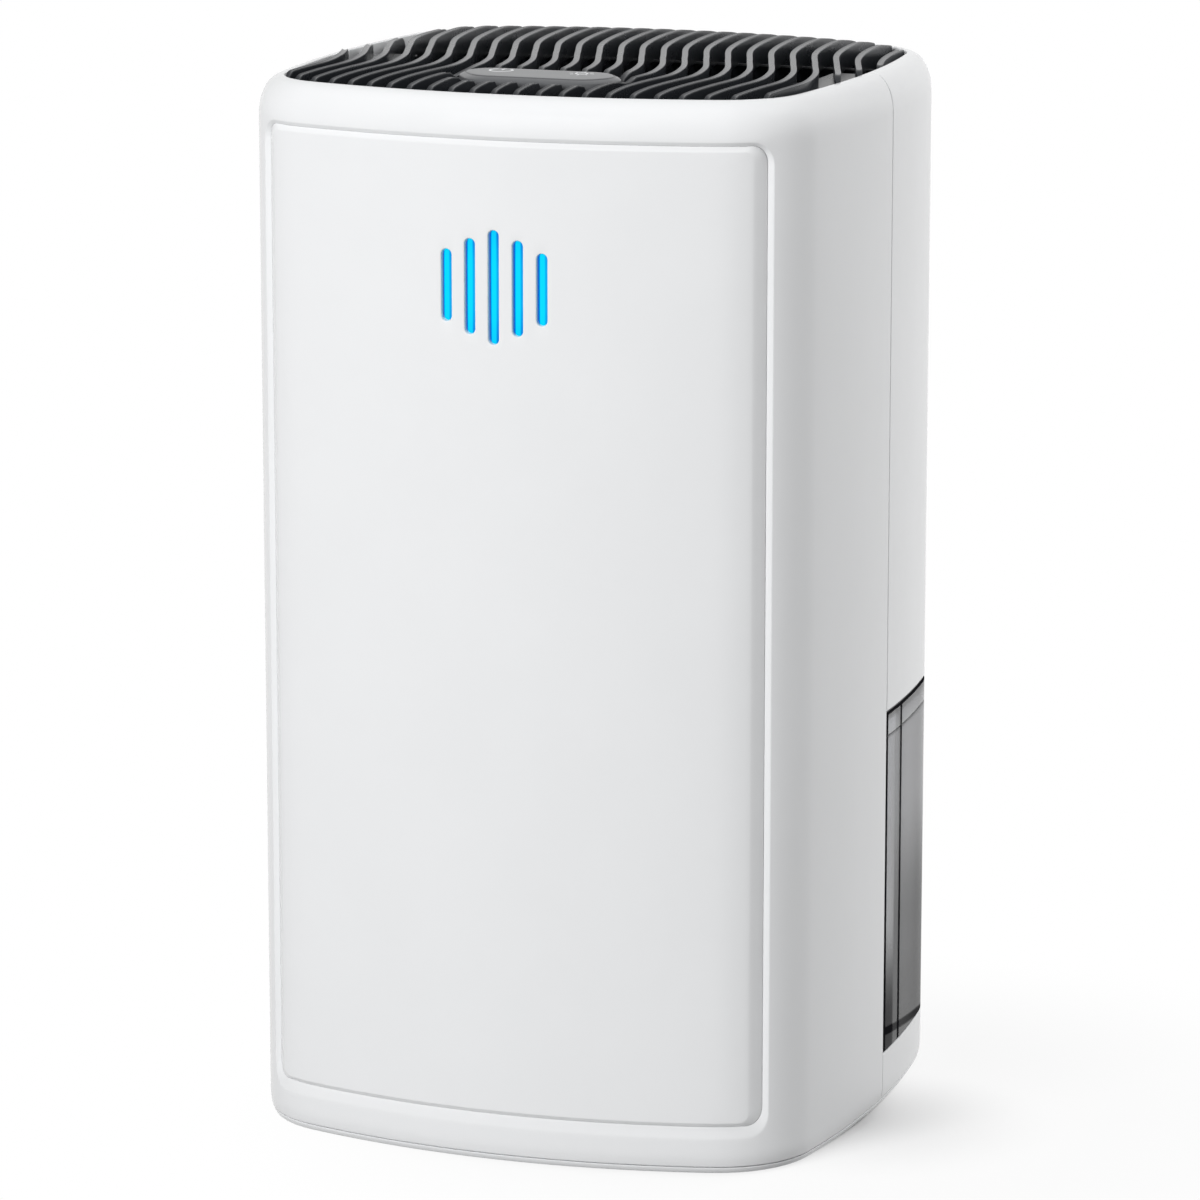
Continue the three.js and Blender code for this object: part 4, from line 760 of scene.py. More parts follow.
def intake_cell(skin, centre, z):
    """One slot of the rear intake: rings from its square cell to the slot's outline outside and
    inside, joined by the slot's wall with a small round at its edge."""
    xs = np.linspace(centre - INTAKE_FIELD / 2, centre + INTAKE_FIELD / 2, 13)
    zs = np.linspace(z - INTAKE_PITCH / 2, z + INTAKE_PITCH / 2, 5)
    square = square_loop(xs, zs)
    rings = []
    for grow, depth in ((0.5, 0.0), (0.3, 0.06), (0.12, 0.2), (0.0, 0.5)):
        sides = box(centre, z, INTAKE_LENGTH / 2 + grow, INTAKE_WIDTH / 2 + grow)
        rings.append((round_loop(xs, zs, sides, INTAKE_WIDTH / 2 + grow, (1, 2)), depth))
    halfway = between(square, rings[0][0], [0.5])[0]
    loops = [(square, 0.0), (halfway, 0.0), *rings, (rings[-1][0], WALL), (square, WALL)]
    skin.grid(wrap_loops(loops, back=True), around=True)


def rear_housing():
    """Rear shell: skin over the back above the tank, shoulder, lip and inner wall, with the
    intake's slots let into a square field of both faces."""
    skin = Skin()
    edge = QUARTER - SEAM_Y - GAP / 2
    top = INTAKE_LOW + (INTAKE_ROWS - 0.5) * INTAKE_PITCH
    bottom = INTAKE_LOW - INTAKE_PITCH / 2
    across = lines(0, 12, INTAKE_FIELD, 12, CORNER_END, 9, edge - 1.2)
    along = mirrored(np.concatenate([across[:-1], seam_lines(edge)]))
    wall_top = RIM_Z - SHOULDER_DROP
    up = np.concatenate([
        SEAL_Z + 0.5 * EDGE_STEPS,
        lines(154.0, 4, bottom)[:-1],
        lines(bottom, 4 * INTAKE_ROWS, top, 9, wall_top, 1, HOLE_HIGH)[:-1],
        shoulder_heights(),
    ])
    side, below = edge_round(edge - np.abs(along)), edge_round(up - SEAL_Z)
    inside = [362.0, 340.0, *lines(top, 4 * INTAKE_ROWS, bottom), 160.0, SEAL_Z]
    section = np.concatenate([
        wrap(along[None], up[:, None], np.maximum(side[None], below[:, None]), back=True),
        level_rows(along, LIP_SECTION, back=True),
        level_rows(along, [(WALL, z) for z in inside], back=True),
    ])
    z = section[:, 0, 2]
    field = cells(along, z, (-INTAKE_FIELD, INTAKE_FIELD), (bottom, top))
    skin.strip(section, field & (np.abs(np.diff(z)) < INTAKE_PITCH / 2)[:, None])
    for centre in INTAKE_CENTRES:
        for row in range(INTAKE_ROWS):
            intake_cell(skin, centre, INTAKE_LOW + row * INTAKE_PITCH)
    return skin.object("rear_shell", "white_gloss", "housing", replaces=["rear_housing"])


def base_plate():
    """Base cover: the foot's curve between the ground gap and the seam, closed by a flat below
    and above."""
    skin = Skin()
    along = np.linspace(-2 * QUARTER, 2 * QUARTER, 145)[:-1]
    up = np.array([BASE_LOW, 0.84, 0.95, 1.15, 1.6, 2.2, 2.7, 2.88, 2.96, BASE_SEAM_Z])
    depth = np.maximum(edge_round(up - BASE_LOW, 0.35), edge_round(BASE_SEAM_Z - up, 0.3))
    rows = wrap(along[None], up[:, None], depth[:, None])
    skin.grid(rows, around=True)
    skin.disc(rows[0], centre=(0, 0, BASE_LOW))
    skin.disc(rows[-1], centre=(0, 0, BASE_SEAM_Z))
    return skin.object("base_plate", "white_gloss", "housing", replaces=["base_cover"])


def light_slot(skin, centre, length, xs, zs):
    """A round-ended slot through the panel in a square cell of its face and its back."""
    square = square_loop(xs, zs)
    rings = []
    for grow, depth in ((0.5, 0.0), (0.28, 0.05), (0.1, 0.18), (0.0, 0.45), (0.0, PANEL_THICK)):
        reach = BAR_WIDTH / 2 + grow
        sides = box(centre, BAR_Z, reach, length / 2 + grow)
        rings.append((round_loop(xs, zs, sides, reach, (2, 4)), depth))
    halfway = between(square, rings[0][0], [0.5])[0]
    loops = [(square, 0.0), (halfway, 0.0), *rings, (square, PANEL_THICK)]
    skin.grid(wrap_loops(loops), around=True)


def front_panel():
    """Front panel: a sheet laid on the skin between its crease and its foot, with five upright
    slots. The face and the back share one pattern of quads and are joined round every edge."""
    skin = Skin()
    window_x = np.linspace(-WINDOW_HALF, WINDOW_HALF, 4 * len(BAR_LENGTHS) + 1)
    window_z = np.linspace(BAR_Z - WINDOW_RISE, BAR_Z + WINDOW_RISE, 17)
    half = lines(WINDOW_HALF, 8, 70.0, 6, 86.0)
    below, above = lines(26.0, 6, 40.0, 34, window_z[0]), lines(window_z[-1], 3, 356.0, 6, 366.0)
    xs = np.concatenate([-half[::-1], window_x[1:-1], half])
    zs = np.concatenate([below[:-1], window_z, above[1:]])
    window = cells(xs, zs, (-WINDOW_HALF, WINDOW_HALF), (window_z[0], window_z[-1]))
    for depth in (0.0, PANEL_THICK):
        skin.grid(wrap(xs[None], zs[:, None], depth), keep=~window)
    square = square_loop(xs, zs)
    crease, foot = frame_loop(xs, zs, PANEL_CREASE), frame_loop(xs, zs, PANEL_FOOT)
    outer = between(square, crease, [0, 0.35, 0.7, 0.88])
    slope = np.array([-0.12, -0.04, 0.0, 0.04, 0.12, 0.3, 0.6, 0.85, 0.97, 1.0])
    flat = np.concatenate([outer, between(crease, foot, slope), foot[None], square[None]])
    share = np.concatenate([np.zeros(len(outer)), ease(slope, 0.05), [0.0, 0.0]])
    depth = share[:, None] * groove_depth(flat)
    depth[-2:] = PANEL_THICK
    skin.grid(wrap(flat[..., 0], flat[..., 1], depth), around=True)
    for i, length in enumerate(BAR_LENGTHS):
        light_slot(skin, (i - 2) * BAR_PITCH, length, window_x[4 * i : 4 * i + 5], window_z)
    return skin.object("panel", "white_gloss", "housing", replaces=["front_panel"])


def light_bars():
    """Light guide: each bar a round-ended slug whose face is slightly crowned."""
    skin = Skin()
    turns = np.linspace(0, 2 * np.pi, 41)[:-1]
    ends = np.where(np.sin(turns) >= 0, 1, -1)
    rises = ((0.0, 0.35), (0.12, 0.12), (0.35, 0.0), (1.2, -0.05))
    section = [(0.0, 5.0), *((shrink, BAR_RECESS + rise) for shrink, rise in rises)]
    for i, length in enumerate(BAR_LENGTHS):
        loops = []
        for shrink, depth in section:
            reach = BAR_WIDTH / 2 - BAR_GAP - shrink
            x = (i - 2) * BAR_PITCH + reach * np.cos(turns)
            z = BAR_Z + reach * np.sin(turns) + (length - BAR_WIDTH) / 2 * ends
            loops.append(wrap(x, z, depth))
        skin.tube(np.array(loops))
    return skin.object("light_bars", "cyan_light", "housing", replaces=["light_guide"])


front_housing()
rear_housing()
base_plate()
front_panel()
light_bars()


# ------------------------------------------------------------------ top grille
LOUVRE_PITCH = 8.3
LOUVRE_SHIFT = 2.1
LOUVRE_HALF = 1.15
LOUVRE_DEPTH = 8.0
CROWN = 3.4
OPENING_HALF = 102.0
OPENING_DEPTH = 101.0
RING_IN = 9.7
FRONT_ROLL = 3.4  # how far the louvres' front ends are rolled down
PAD_ROLL = 5.5
SHORT_LOUVRE = 20.0
LEAST_LOUVRE = 90  # in steps of a tenth of a millimetre
# The drift's knots as (depth as a share of the opening's half depth, sideways place).
LOUVRE_KNOTS = (
    (-1.03, 1.5), (-0.85, 3.6), (-0.67, 6.9), (-0.5, 9.5), (-0.3, 7.0),
    (0.0, -2.6), (0.3, -12.3), (0.6, -16.6), (1.03, -15.8),
)


def louvre_drift(y):
    """Sideways drift of every louvre at a depth y: a smooth curve through a few knots, whose slope
    at each knot is that of the line through its two neighbours."""
    knots = np.array(LOUVRE_KNOTS) * [OPENING_DEPTH, 1.0]
    slopes = np.gradient(knots[:, 1], knots[:, 0])
    y = np.clip(y, knots[0, 0], knots[-1, 0])
    i = np.clip(np.searchsorted(knots[:, 0], y) - 1, 0, len(knots) - 2)
    width = knots[i + 1, 0] - knots[i, 0]
    t = (y - knots[i, 0]) / width
    ends = (1 + 2 * t) * (1 - t) ** 2 * knots[i, 1] + t * t * (3 - 2 * t) * knots[i + 1, 1]
    return ends + width * t * (1 - t) * ((1 - t) * slopes[i] - t * slopes[i + 1])


def crown_height(x, y):
    """Height of the louvre tops: a low crown. It comes down to the rim at the front by powers of
    the distance from the middle, and at the rear by a power of the closeness to the rim."""
    deep, wide = np.abs(y) / OPENING_DEPTH, np.abs(x) / OPENING_HALF
    front = (3.6 * deep**8.9 + 3.5 * deep**3 * wide**2) * (y < 0)
    at_rear = np.clip((y + 20) / 50, 0, 1)
    close = 1 - np.clip((plan_inset(x, y) - RING_IN - 1) / 25, 0, 1)
    before = (1 - at_rear) * 0.8 * wide**2.5
    return RIM_Z + CROWN - front - before - at_rear * (0.5 * wide**2 + 2.6 * close**2.2)


SEAT_CORNERS = np.array([(-31, 0), (-17, -17), (17, -17), (31, 0), (17, 17), (-17, 17)])
PAD_CORNERS = np.array([(-31, -1), (-21, -15.5), (25, -15.5), (33, -2.5), (25.5, 12), (-26, 12)])


def pad_distance(x, y):
    """How far a point lies outside the pad's six-sided outline: the greatest distance beyond any
    one of its edges."""
    start = PAD_CORNERS + [0, PAD_Y]
    run = np.roll(start, -1, 0) - start
    normal = np.stack([run[:, 1], -run[:, 0]], -1) / np.hypot(run[:, 0], run[:, 1])[:, None]
    from_start = np.stack([x, y], -1)[..., None, :] - start
    return (from_start * normal).sum(-1).max(-1)


# Section of a louvre as (share of the half width, drop): a shallow dish between two round edges.
LOUVRE_SECTION = np.array([
    (-0.8, 8.0), (-0.92, 3.0), (-1.0, 0.7), (-0.985, 0.35), (-0.94, 0.12), (-0.86, 0.01),
    (-0.76, 0.03), (-0.6, 0.2), (-0.3, 0.32), (0.0, 0.35), (0.3, 0.32), (0.6, 0.2), (0.76, 0.03),
    (0.86, 0.01), (0.94, 0.12), (0.985, 0.35), (1.0, 0.7), (0.92, 3.0), (0.8, 8.0),
])
END_STEPS = np.array([0.0, 0.06, 0.2, 0.45, 0.75, 1.1, 1.5, 2.0, 2.6, 3.4, 4.3, 5.4, 7.0])
# Depths at which a louvre's path is tried, a tenth of a millimetre apart.
DEPTHS = np.linspace(-104, 104, 2081)


def louvre_slope(y):
    """Slope of the drift at a depth y, from the differences between the tried depths."""
    return np.interp(y, DEPTHS, np.gradient(louvre_drift(DEPTHS), DEPTHS))


def louvre(skin, shift, first, last, tip):
    """One louvre between two depths: the section carried along its path under the crown, narrowed
    at both ends over a half circle, and rolled down there and where it meets the pad."""
    steps, inside, count = END_STEPS, 8.5, 46
    if last - first < SHORT_LOUVRE:
        steps, inside, count = END_STEPS[:8], 2.6, 16
    middle = np.linspace(first + inside, last - inside, count)
    y = np.sort(np.concatenate([first + steps, middle, last - steps]))
    x, slope = shift + louvre_drift(y), louvre_slope(y)
    length = np.hypot(1, slope)
    side = np.stack([1 / length, -slope / length], -1)
    narrow = np.clip(1 - np.minimum(y - first, last - y) * length / LOUVRE_HALF, 0, 1)
    half = LOUVRE_HALF * np.sqrt(np.clip(1 - narrow**2, 0.0004, 1))
    pad = pad_distance(x, y)
    roll = edge_round((y - first) * length, FRONT_ROLL) + edge_round((last - y) * length, tip)
    by_pad = edge_round(pad, PAD_ROLL) + np.where(pad < 0, 1.5, 0.0)
    fall = np.minimum(roll + by_pad, LOUVRE_DEPTH - 1.2)
    across = half[:, None] * LOUVRE_SECTION[:, 0]
    drop = LOUVRE_SECTION[None, :, 1]
    squeeze = 1 - fall[:, None] / LOUVRE_DEPTH
    height = (crown_height(x, y) - fall)[:, None] - np.where(drop > 1, drop * squeeze, drop)
    plan = np.stack([x, y], -1)[:, None] + across[..., None] * side[:, None]
    skin.tube(np.concatenate([plan, height[..., None]], -1))


def louvres():
    """Every louvre, between the two places where its path leaves the opening. Towards the left
    their rear ends keep a little further from the rim and roll down over a greater length."""
    skin = Skin()
    for shift in LOUVRE_SHIFT + LOUVRE_PITCH * np.arange(-13, 15):
        path = shift + louvre_drift(DEPTHS)
        inset = plan_inset(path, DEPTHS)
        to_left = ease(np.clip((-path - 40) / 35, 0, 1))
        front = (inset > RING_IN + 0.4) & (DEPTHS > DEPTHS[0])
        rear = (inset > RING_IN + 1.0 + 1.5 * to_left) & front
        if rear.sum() >= LEAST_LOUVRE:
            tip = 1.5 + 5.0 * to_left[rear][-1]
            louvre(skin, shift, DEPTHS[front][0], DEPTHS[rear][-1], tip)
    return skin.object("louvres", "dark_grey_plastic", "housing", sharp=50, replaces=["top_grille"])


def bar_across(skin, stations, section, across=True):
    """A straight bar with a closed section of (place, height) pairs. It runs along x, or along y
    when across is false; a place may change along the bar."""
    rows = []
    for place, z in section:
        place = place + 0 * stations
        plan = (stations, place) if across else (place, stations)
        rows.append(level(np.stack(plan, -1), z))
    skin.strip(np.array(rows))


def grille_frame():
    """Ring that holds the louvres, with a ledge inside it along each side, two cross ribs under
    the louvres, and the pad's seat. The ring's top leans down towards the left."""
    skin = Skin()
    turns = np.linspace(-2 * QUARTER, 2 * QUARTER, 161)[:-1]
    inner = LEDGE_IN + 0.2
    profile = [(RING_IN, 375.4), (RING_IN, 385.1), (RING_IN + 0.12, 385.38), (RING_IN + 0.4, 385.5)]
    profile += [(LEDGE_IN, 385.5), (inner, 385.3), (inner, 375.4)]
    rows = level_rows(turns, profile)
    lean = ease(np.clip((-rows[..., 0] - 20) / 60, 0, 1))
    rows[..., 2] -= 3.0 * (rows[..., 2] > 380) * lean
    skin.grid(rows, around=True, along=True)
    for side in (-1, 1):
        y = np.linspace(-62, 24, 24)
        outer = side * np.interp(np.abs(y), [0, 62], [98.2, 93.6])
        inner = side * 81.5
        section = [(outer, 380.0), (outer, 384.8), (inner + side * 0.4, 384.8)]
        bar_across(skin, y, section + [(inner, 384.4), (inner, 380.0)], across=False)
    for y in (-28.0, 45.0):
        reach = 97 - abs(y) / 12
        section = ((0, 378.0), (0, 383.4), (0.6, 384.0), (1.4, 384.0), (2, 383.4), (2, 378.0))
        stations = np.linspace(-reach, reach, 40)
        bar_across(skin, stations, [(y + place, z) for place, z in section])
    profile = ((-1.1, 383.6), (-1.1, 385.9), (-1.4, 386.2))
    pad_stack(skin, profile, SEAT_CORNERS)
    return skin.object("grille_frame", "dark_grey_plastic", "housing")


# ------------------------------------------------------------------ touch pad
def pad_loop(grow, outline, corner=6.0, steps=10):
    """A six-sided outline on the pad's place, moved out by grow, each corner turned through a
    parabola between points on its two edges."""
    corners = outline + (outline - outline.mean(0)) * [grow / 31.0, grow / 14.5]
    ends = []
    for neighbour in (np.roll(corners, 1, 0), np.roll(corners, -1, 0)):
        edge = neighbour - corners
        share = np.minimum(corner / np.hypot(edge[:, 0], edge[:, 1]), 0.48)
        ends.append((corners + edge * share[:, None])[:, None])
    t = np.linspace(0, 1, steps + 1)[None, :, None]
    curve = (1 - t) ** 2 * ends[0] + 2 * t * (1 - t) * corners[:, None] + t**2 * ends[1]
    return curve.reshape(-1, 2) + [0, PAD_Y]


def pad_stack(skin, profile, outline):
    """Outlines stacked up (grow, height) pairs, closed by a disc below and above."""
    rows = np.array([level(pad_loop(grow, outline), z) for grow, z in profile])
    skin.grid(rows, around=True)
    skin.disc(rows[0])
    skin.disc(rows[-1])


def touch_pad():
    """Pad cap: outline loops stacked up a straight foot, a sloping skirt, a fine groove and the
    flat top plate."""
    skin = Skin()
    skirt = [(0.0, 386.0), (0.0, 389.7), (-0.12, 390.05), (-0.4, 390.3), (-1.8, 390.95)]
    groove = [(-2.0, 391.0), (-2.15, 390.85), (-2.35, 390.85), (-2.45, 391.15)]
    plate = [(-2.6, 391.32), (-3.0, 391.4), (-3.8, 391.42)]
    pad_stack(skin, skirt + groove + plate, PAD_CORNERS)
    return skin.object("pad_cap", "grey_pad", "housing", sharp=30, replaces=["control_pad"])


def icon_stroke(skin, path, width, closed=False):
    """A raised stroke of even width along a path on the pad, with square shoulders."""
    run = np.roll(path, -1, 0) - np.roll(path, 1, 0) if closed else np.gradient(path, axis=0)
    length = np.hypot(run[:, 0], run[:, 1])[:, None]
    side = np.stack([run[:, 1], -run[:, 0]], -1) / length * width / 2
    section = ((-1.0, SIGN_FOOT_Z), (-0.9, SIGN_TOP_Z), (0.9, SIGN_TOP_Z), (1.0, SIGN_FOOT_Z))
    rows = np.array([level(path + side * share, z) for share, z in section])
    if closed:
        skin.grid(rows, around=True, along=True)
    else:
        skin.strip(rows)


def icons():
    """Two white signs on the pad: a broken ring with a bar, and a small ring with eight rays."""
    skin = Skin()
    left, right = np.array([-15.2, -61.2]), np.array([15.2, -60.8])
    ring = lambda turns: np.stack([np.cos(turns), np.sin(turns)], -1)
    icon_stroke(skin, left + 4.1 * ring(np.radians(np.linspace(125, 415, 40))), 0.9)
    icon_stroke(skin, left + np.stack([np.zeros(4), np.linspace(0.6, 4.6, 4)], -1), 0.9)
    icon_stroke(skin, right + 2.1 * ring(np.linspace(0, 2 * np.pi, 37)[:-1]), 0.7, closed=True)
    for turn in np.radians(np.arange(0, 360, 45)):
        icon_stroke(skin, right + np.linspace(3.3, 4.6, 3)[:, None] * ring(turn), 0.7)
    return skin.object("pad_signs", "sign_white", "housing")


louvres()
grille_frame()
touch_pad()
icons()


# ------------------------------------------------------------------ water tank
TANK_EDGE = QUARTER - TANK_FRONT


def grip_cup(skin, xs, zs, grow, inset, floor_y, lip):
    """Cup of the hand grip from a square field of the wall: a rounded mouth, walls along y and a
    flat floor with rounded corners."""
    middle, rise = (GRIP["low"] + GRIP["high"]) / 2, (GRIP["high"] - GRIP["low"]) / 2

    def mouth(extra):
        extra = extra + grow
        sides = box(0.0, middle, GRIP["half"] + extra, rise + extra)
        return round_loop(xs, zs, sides, GRIP["corner"] + extra, (8, 4))

    section = ((1.2, 0.0), (0.7, 0.1), (0.3, 0.35), (0.05, 0.8), (0.0, 1.2))
    loops = [(square_loop(xs, zs), inset)]
    loops += [(mouth(extra * lip), inset + depth * lip) for extra, depth in section]
    rings = list(wrap_loops(loops, back=True))
    for extra, above in ((0.0, 3.0), (-0.3, 1.2), (-1.2, 0.3), (-3.0, 0.0)):
        rings.append(level(mouth(extra), floor_y + above)[:, [0, 2, 1]])
    skin.grid(np.array(rings), around=True)
    skin.disc(rings[-1], shares=(0.0, 0.4, 0.8))


def tank():
    """Tank: a wall round the back and sides with a filleted floor, a hand grip sunk in the back,
    and a front wall whose round corners leave a flush wing at each side."""
    skin = Skin()
    half = lines(0, 8, 30.0, 8, GRIP_FIELD, 6, FRONT_RUN, 12, CORNER_END, 7, TANK_EDGE - 1)
    along = mirrored(np.concatenate([half[:-1], seam_lines(TANK_EDGE, 0.4)]))
    side = edge_round(TANK_EDGE - np.abs(along), 0.4)
    grip_z = lines(103.5, 8, 136.5)
    low = TANK_FLOOR_Z + 0.5 * EDGE_STEPS[:-1]
    up = np.concatenate([low, lines(24.0, 8, 103.5)[:-1], grip_z, [139.0, 141.5]])
    pairs = list(zip(edge_round(up - TANK_FLOOR_Z), up))
    pairs += [(0.05, TANK_RIM_Z - 0.3), (0.25, TANK_RIM_Z - 0.05), (0.5, TANK_RIM_Z)]
    pairs += [(TANK_WALL - 0.4, TANK_RIM_Z), (TANK_WALL, TANK_RIM_Z - 0.3)]
    pairs += [(TANK_WALL, z) for z in (139.0, *grip_z[::-1], 90.0, 60.0)]
    floor, fillet = TANK_FLOOR_Z + 4.0, 14.0
    for a in np.radians(np.linspace(90, 0, 9)):
        pairs.append((TANK_WALL + fillet * (1 - math.sin(a)), floor + fillet * (1 - math.cos(a))))
    outside = level_rows(along, [(inset + side, z) for inset, z in pairs], back=True)
    rim, foot = outside[-1], outside[0]
    chord = np.stack([rim[:, 0] * 0.98, np.full(len(along), TANK_FRONT + 0.8), rim[:, 2]], -1)
    under_chord = level(chord[:, :2], foot[0, 2])
    shares = [0.1, 0.35, 0.7, 1.0]
    top, under = between(rim, chord, shares), between(foot, under_chord, shares[::-1])
    section = np.concatenate([outside, top, under])
    field = cells(along, section[:, 0, 2], (-GRIP_FIELD, GRIP_FIELD), (grip_z[0], grip_z[-1]))
    skin.strip(section, field)
    xs = along[np.abs(along) < GRIP_FIELD + 0.01]
    floor_y = 109.4 - GRIP["depth"]
    grip_cup(skin, xs, grip_z, 0.0, 0.0, floor_y, 1.0)
    grip_cup(skin, xs, grip_z, TANK_WALL, TANK_WALL, floor_y - TANK_WALL, 0.2)
    front_wall(skin, floor)
    return skin.object("tank_shell", "smoked_plastic", "tank", replaces=["tank"])


def front_wall(skin, floor):
    """Front wall of the vessel: a straight with two corner arcs, as thick as the rest."""
    reach = 109.1 - TANK_CORNER
    turns = np.radians(np.linspace(-19, -90, 16))
    arc = np.stack([np.cos(turns), np.sin(turns)], -1)
    middle = np.array([reach, TANK_FRONT + TANK_CORNER])
    path = middle + TANK_CORNER * arc
    straight = np.linspace(reach, -reach, 24)[1:-1]
    flat = np.stack([straight, np.full(len(straight), TANK_FRONT)], -1)
    ahead = np.tile([0.0, -1.0], (len(straight), 1))
    path = np.concatenate([path, flat, path[::-1] * [-1, 1]])
    normal = np.concatenate([arc, ahead, arc[::-1] * [-1, 1]])
    profile = [(0.0, TANK_FLOOR_Z + 0.3), (0.0, TANK_RIM_Z - 0.3), (0.3, TANK_RIM_Z)]
    profile += [(TANK_WALL - 0.3, TANK_RIM_Z), (TANK_WALL, TANK_RIM_Z - 0.3)]
    profile += [(TANK_WALL, floor - 1)]
    skin.strip(np.array([level(path - normal * inset, z) for inset, z in profile]))


def lid_loop(along, inset):
    """Plan of the lid moved in by inset: the outline round the back and a straight front."""
    x, y = plan_point(along * (TANK_EDGE - inset) / TANK_EDGE, inset)
    straight = np.linspace(x[-1], x[0], 34)[1:-1]
    front = np.stack([straight, np.full(len(straight), -y[-1])], -1)
    return np.concatenate([np.stack([x, -y], -1), front])


def tank_lid():
    """Lid: a flush band, a top plate that dips to a funnel for the drops, and a hollow underside.
    One grid, closed round the plan and round its section."""
    skin = Skin()
    along = mirrored(lines(0, 14, FRONT_RUN, 12, CORNER_END, 10, TANK_EDGE))
    centre = np.array([0.0, DRIP_Y])
    edge = [(0.3, LID_Z), (0.08, LID_Z + 0.08), (0.0, LID_Z + 0.3)]
    edge += [(0.0, TANK_TOP_Z - 0.5), (0.15, TANK_TOP_Z - 0.15), (0.5, TANK_TOP_Z)]
    rows = [level(lid_loop(along, inset), z) for inset, z in edge]
    outer, under = rows[-1][:, :2], lid_loop(along, TANK_WALL)
    heading = outer - centre
    heading /= np.hypot(heading[:, 0], heading[:, 1])[:, None]

    def towards(share, z, start=outer, radius=18.0):
        return level(start * (1 - share) + (centre + heading * radius) * share, z)

    rows += [towards(share, TANK_TOP_Z) for share in (0.03, 0.2, 0.5, 0.8, 0.97)]
    funnel = [(18.0, 150.7), (15.0, 148.5), (9.4, 144.7), (9.0, 144.3), (10.5, 144.3)]
    funnel += [(19.5, LID_UNDER_Z)]
    rows += [towards(1.0, z, radius=radius) for radius, z in funnel]
    rows += [towards(share, LID_UNDER_Z, start=under, radius=20.0) for share in (0.95, 0.5, 0.05)]
    rows += [level(under, z) for z in (LID_UNDER_Z - 0.3, LID_Z)]
    skin.grid(np.array(rows), around=True, along=True)
    return skin.object("tank_cover", "smoked_plastic", "tank", replaces=["tank_lid"])


def gap_shade_strips():
    """Black strips set in the shadow gap round the tank as painted shade: an upright at each side
    in front of the tank and a strip along the rear shell's lower edge."""
    skin = Skin()
    # Painted shade: black strips where the gap round the tank is dark.
    z = np.linspace(DECK_Z, SEAL_Z, 24)
    near, far = 0.45, 3.0
    for side in (-1, 1):
        rows = []
        for inset, y in ((near, 5.9), (near, 6.5), (far, 6.5), (far, 5.9)):
            x, _ = plan_point(QUARTER - y, inset)
            rows.append(np.stack([np.full_like(z, side * x), np.full_like(z, y), z], -1))
        skin.strip(np.array(rows))
    along = mirrored(lines(0, 12, FRONT_RUN, 12, CORNER_END, 8, QUARTER - SEAM_Y))
    section = [(0.5, 151.3), (0.5, 152.1), (far, 152.1), (far, 151.3)]
    skin.strip(level_rows(along, section, back=True))
    return skin.object("gap_shade_strips", "black_plastic", "housing")


tank()
tank_lid()
gap_shade_strips()


# ------------------------------------------------------------------ carried-over nodes
slots = {part["node"]: part["material_slot"] for part in frame["record"]["subparts"]}
for node, piece in frame["nodes"].items():
    piece.data.materials.clear()
    piece.data.materials.append(finishes[slots[node]].material)


# ------------------------------------------------------------------ floor, light and world
FLOOR_RADIUS, FLOOR_Z = 3.0, -0.0002  # metres
FADE_CENTRE = (0.11, -0.015, 0.0)  # where the floor's shadow is least faded


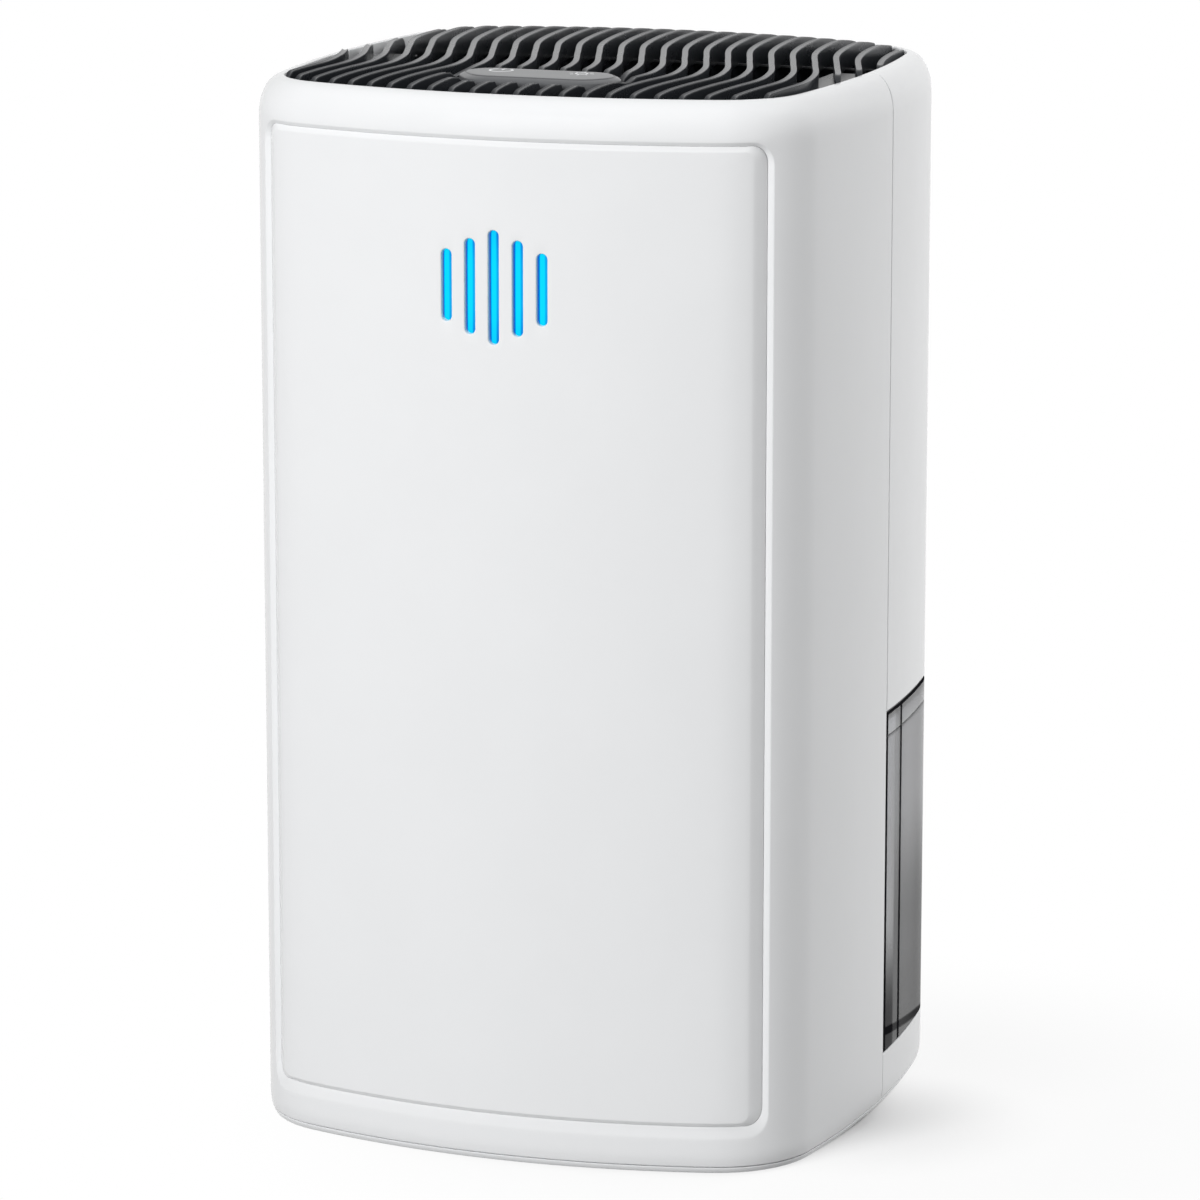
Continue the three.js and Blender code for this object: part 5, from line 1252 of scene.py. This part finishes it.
def make_stage():
    """A pale floor that fades into the white world well away from the object. Rays that aren't
    seen find it dull, so that it throws little light up at the object."""
    turns = np.linspace(0, 2 * np.pi, 97)[:-1]
    mesh = bpy.data.meshes.new("floor")
    rim = level(FLOOR_RADIUS * np.stack([np.cos(turns), np.sin(turns)], -1), FLOOR_Z)
    mesh.from_pydata(rim.tolist(), [], [list(range(len(rim)))])
    floor = bpy.data.objects.new("floor", mesh)
    bpy.context.scene.collection.objects.link(floor)
    pale, darker = (0.78, 0.78, 0.78), (0.75, 0.75, 0.75)
    finish = Finish("floor", pale, roughness=0.55, specular_ior_level=0.1)
    finish.feed("Base Color", finish.colors(finish.noise(30.0, 3.0) * 0.03, pale, darker))
    mesh.materials.append(finish.material)
    values = {0: finish.place(), 1: FADE_CENTRE}
    centred = finish.node("ShaderNodeVectorMath", {"operation": "SUBTRACT"}, values)
    length = {"operation": "LENGTH"}
    away = finish.node("ShaderNodeVectorMath", length, {0: centred}, output="Value")
    fade = 0.86 * away.ramp(-0.01, 0.075) + 0.14 * away.ramp(0.08, 0.25)
    white = finish.node("ShaderNodeEmission", values={"Color": PURE_WHITE, "Strength": 1.0})
    faded = finish.shaders(fade, finish.surface, white)
    finish.show(finish.shaders(finish.seen(), finish.diffuse((0.3, 0.3, 0.3)), faded))


def make_world(ambient):
    """White to the camera, in reflections and through clear plastic; a dimmer even light else."""
    world = bpy.data.worlds.new("world")
    tree = Tree(world, "ShaderNodeOutputWorld")
    values = {"Color": PURE_WHITE, "Strength": tree.seen().ramp(0.0, 1.0, ambient, 1.0)}
    tree.show(tree.node("ShaderNodeBackground", values=values))
    bpy.context.scene.world = world


def soft_light(name, turn, height, power):
    """A square lamp three metres off that faces the object: its turn from the front and its height
    in degrees, its power in watts."""
    data = bpy.data.lights.new(name, "AREA")
    data.shape = "SQUARE"
    data.size = 1.4
    data.energy = power
    lamp = bpy.data.objects.new(name, data)
    turn, height = math.radians(turn), math.radians(height)
    reach = math.cos(height)
    away = Vector((reach * math.sin(turn), -reach * math.cos(turn), math.sin(height)))
    lamp.location = Vector((0.0, 0.0, 0.2)) + 3.0 * away
    lamp.rotation_mode = "QUATERNION"
    lamp.rotation_quaternion = (-away).to_track_quat("-Z", "Y")
    lamp.visible_glossy = False
    bpy.context.scene.collection.objects.link(lamp)


make_stage()
make_world(0.15)
soft_light("key_light", -15, 25, 77.0)
soft_light("right_light", 100, 50, 32.0)
soft_light("rear_light", 140, 20, 33.0)
bpy.context.scene.view_settings.view_transform = "Standard"
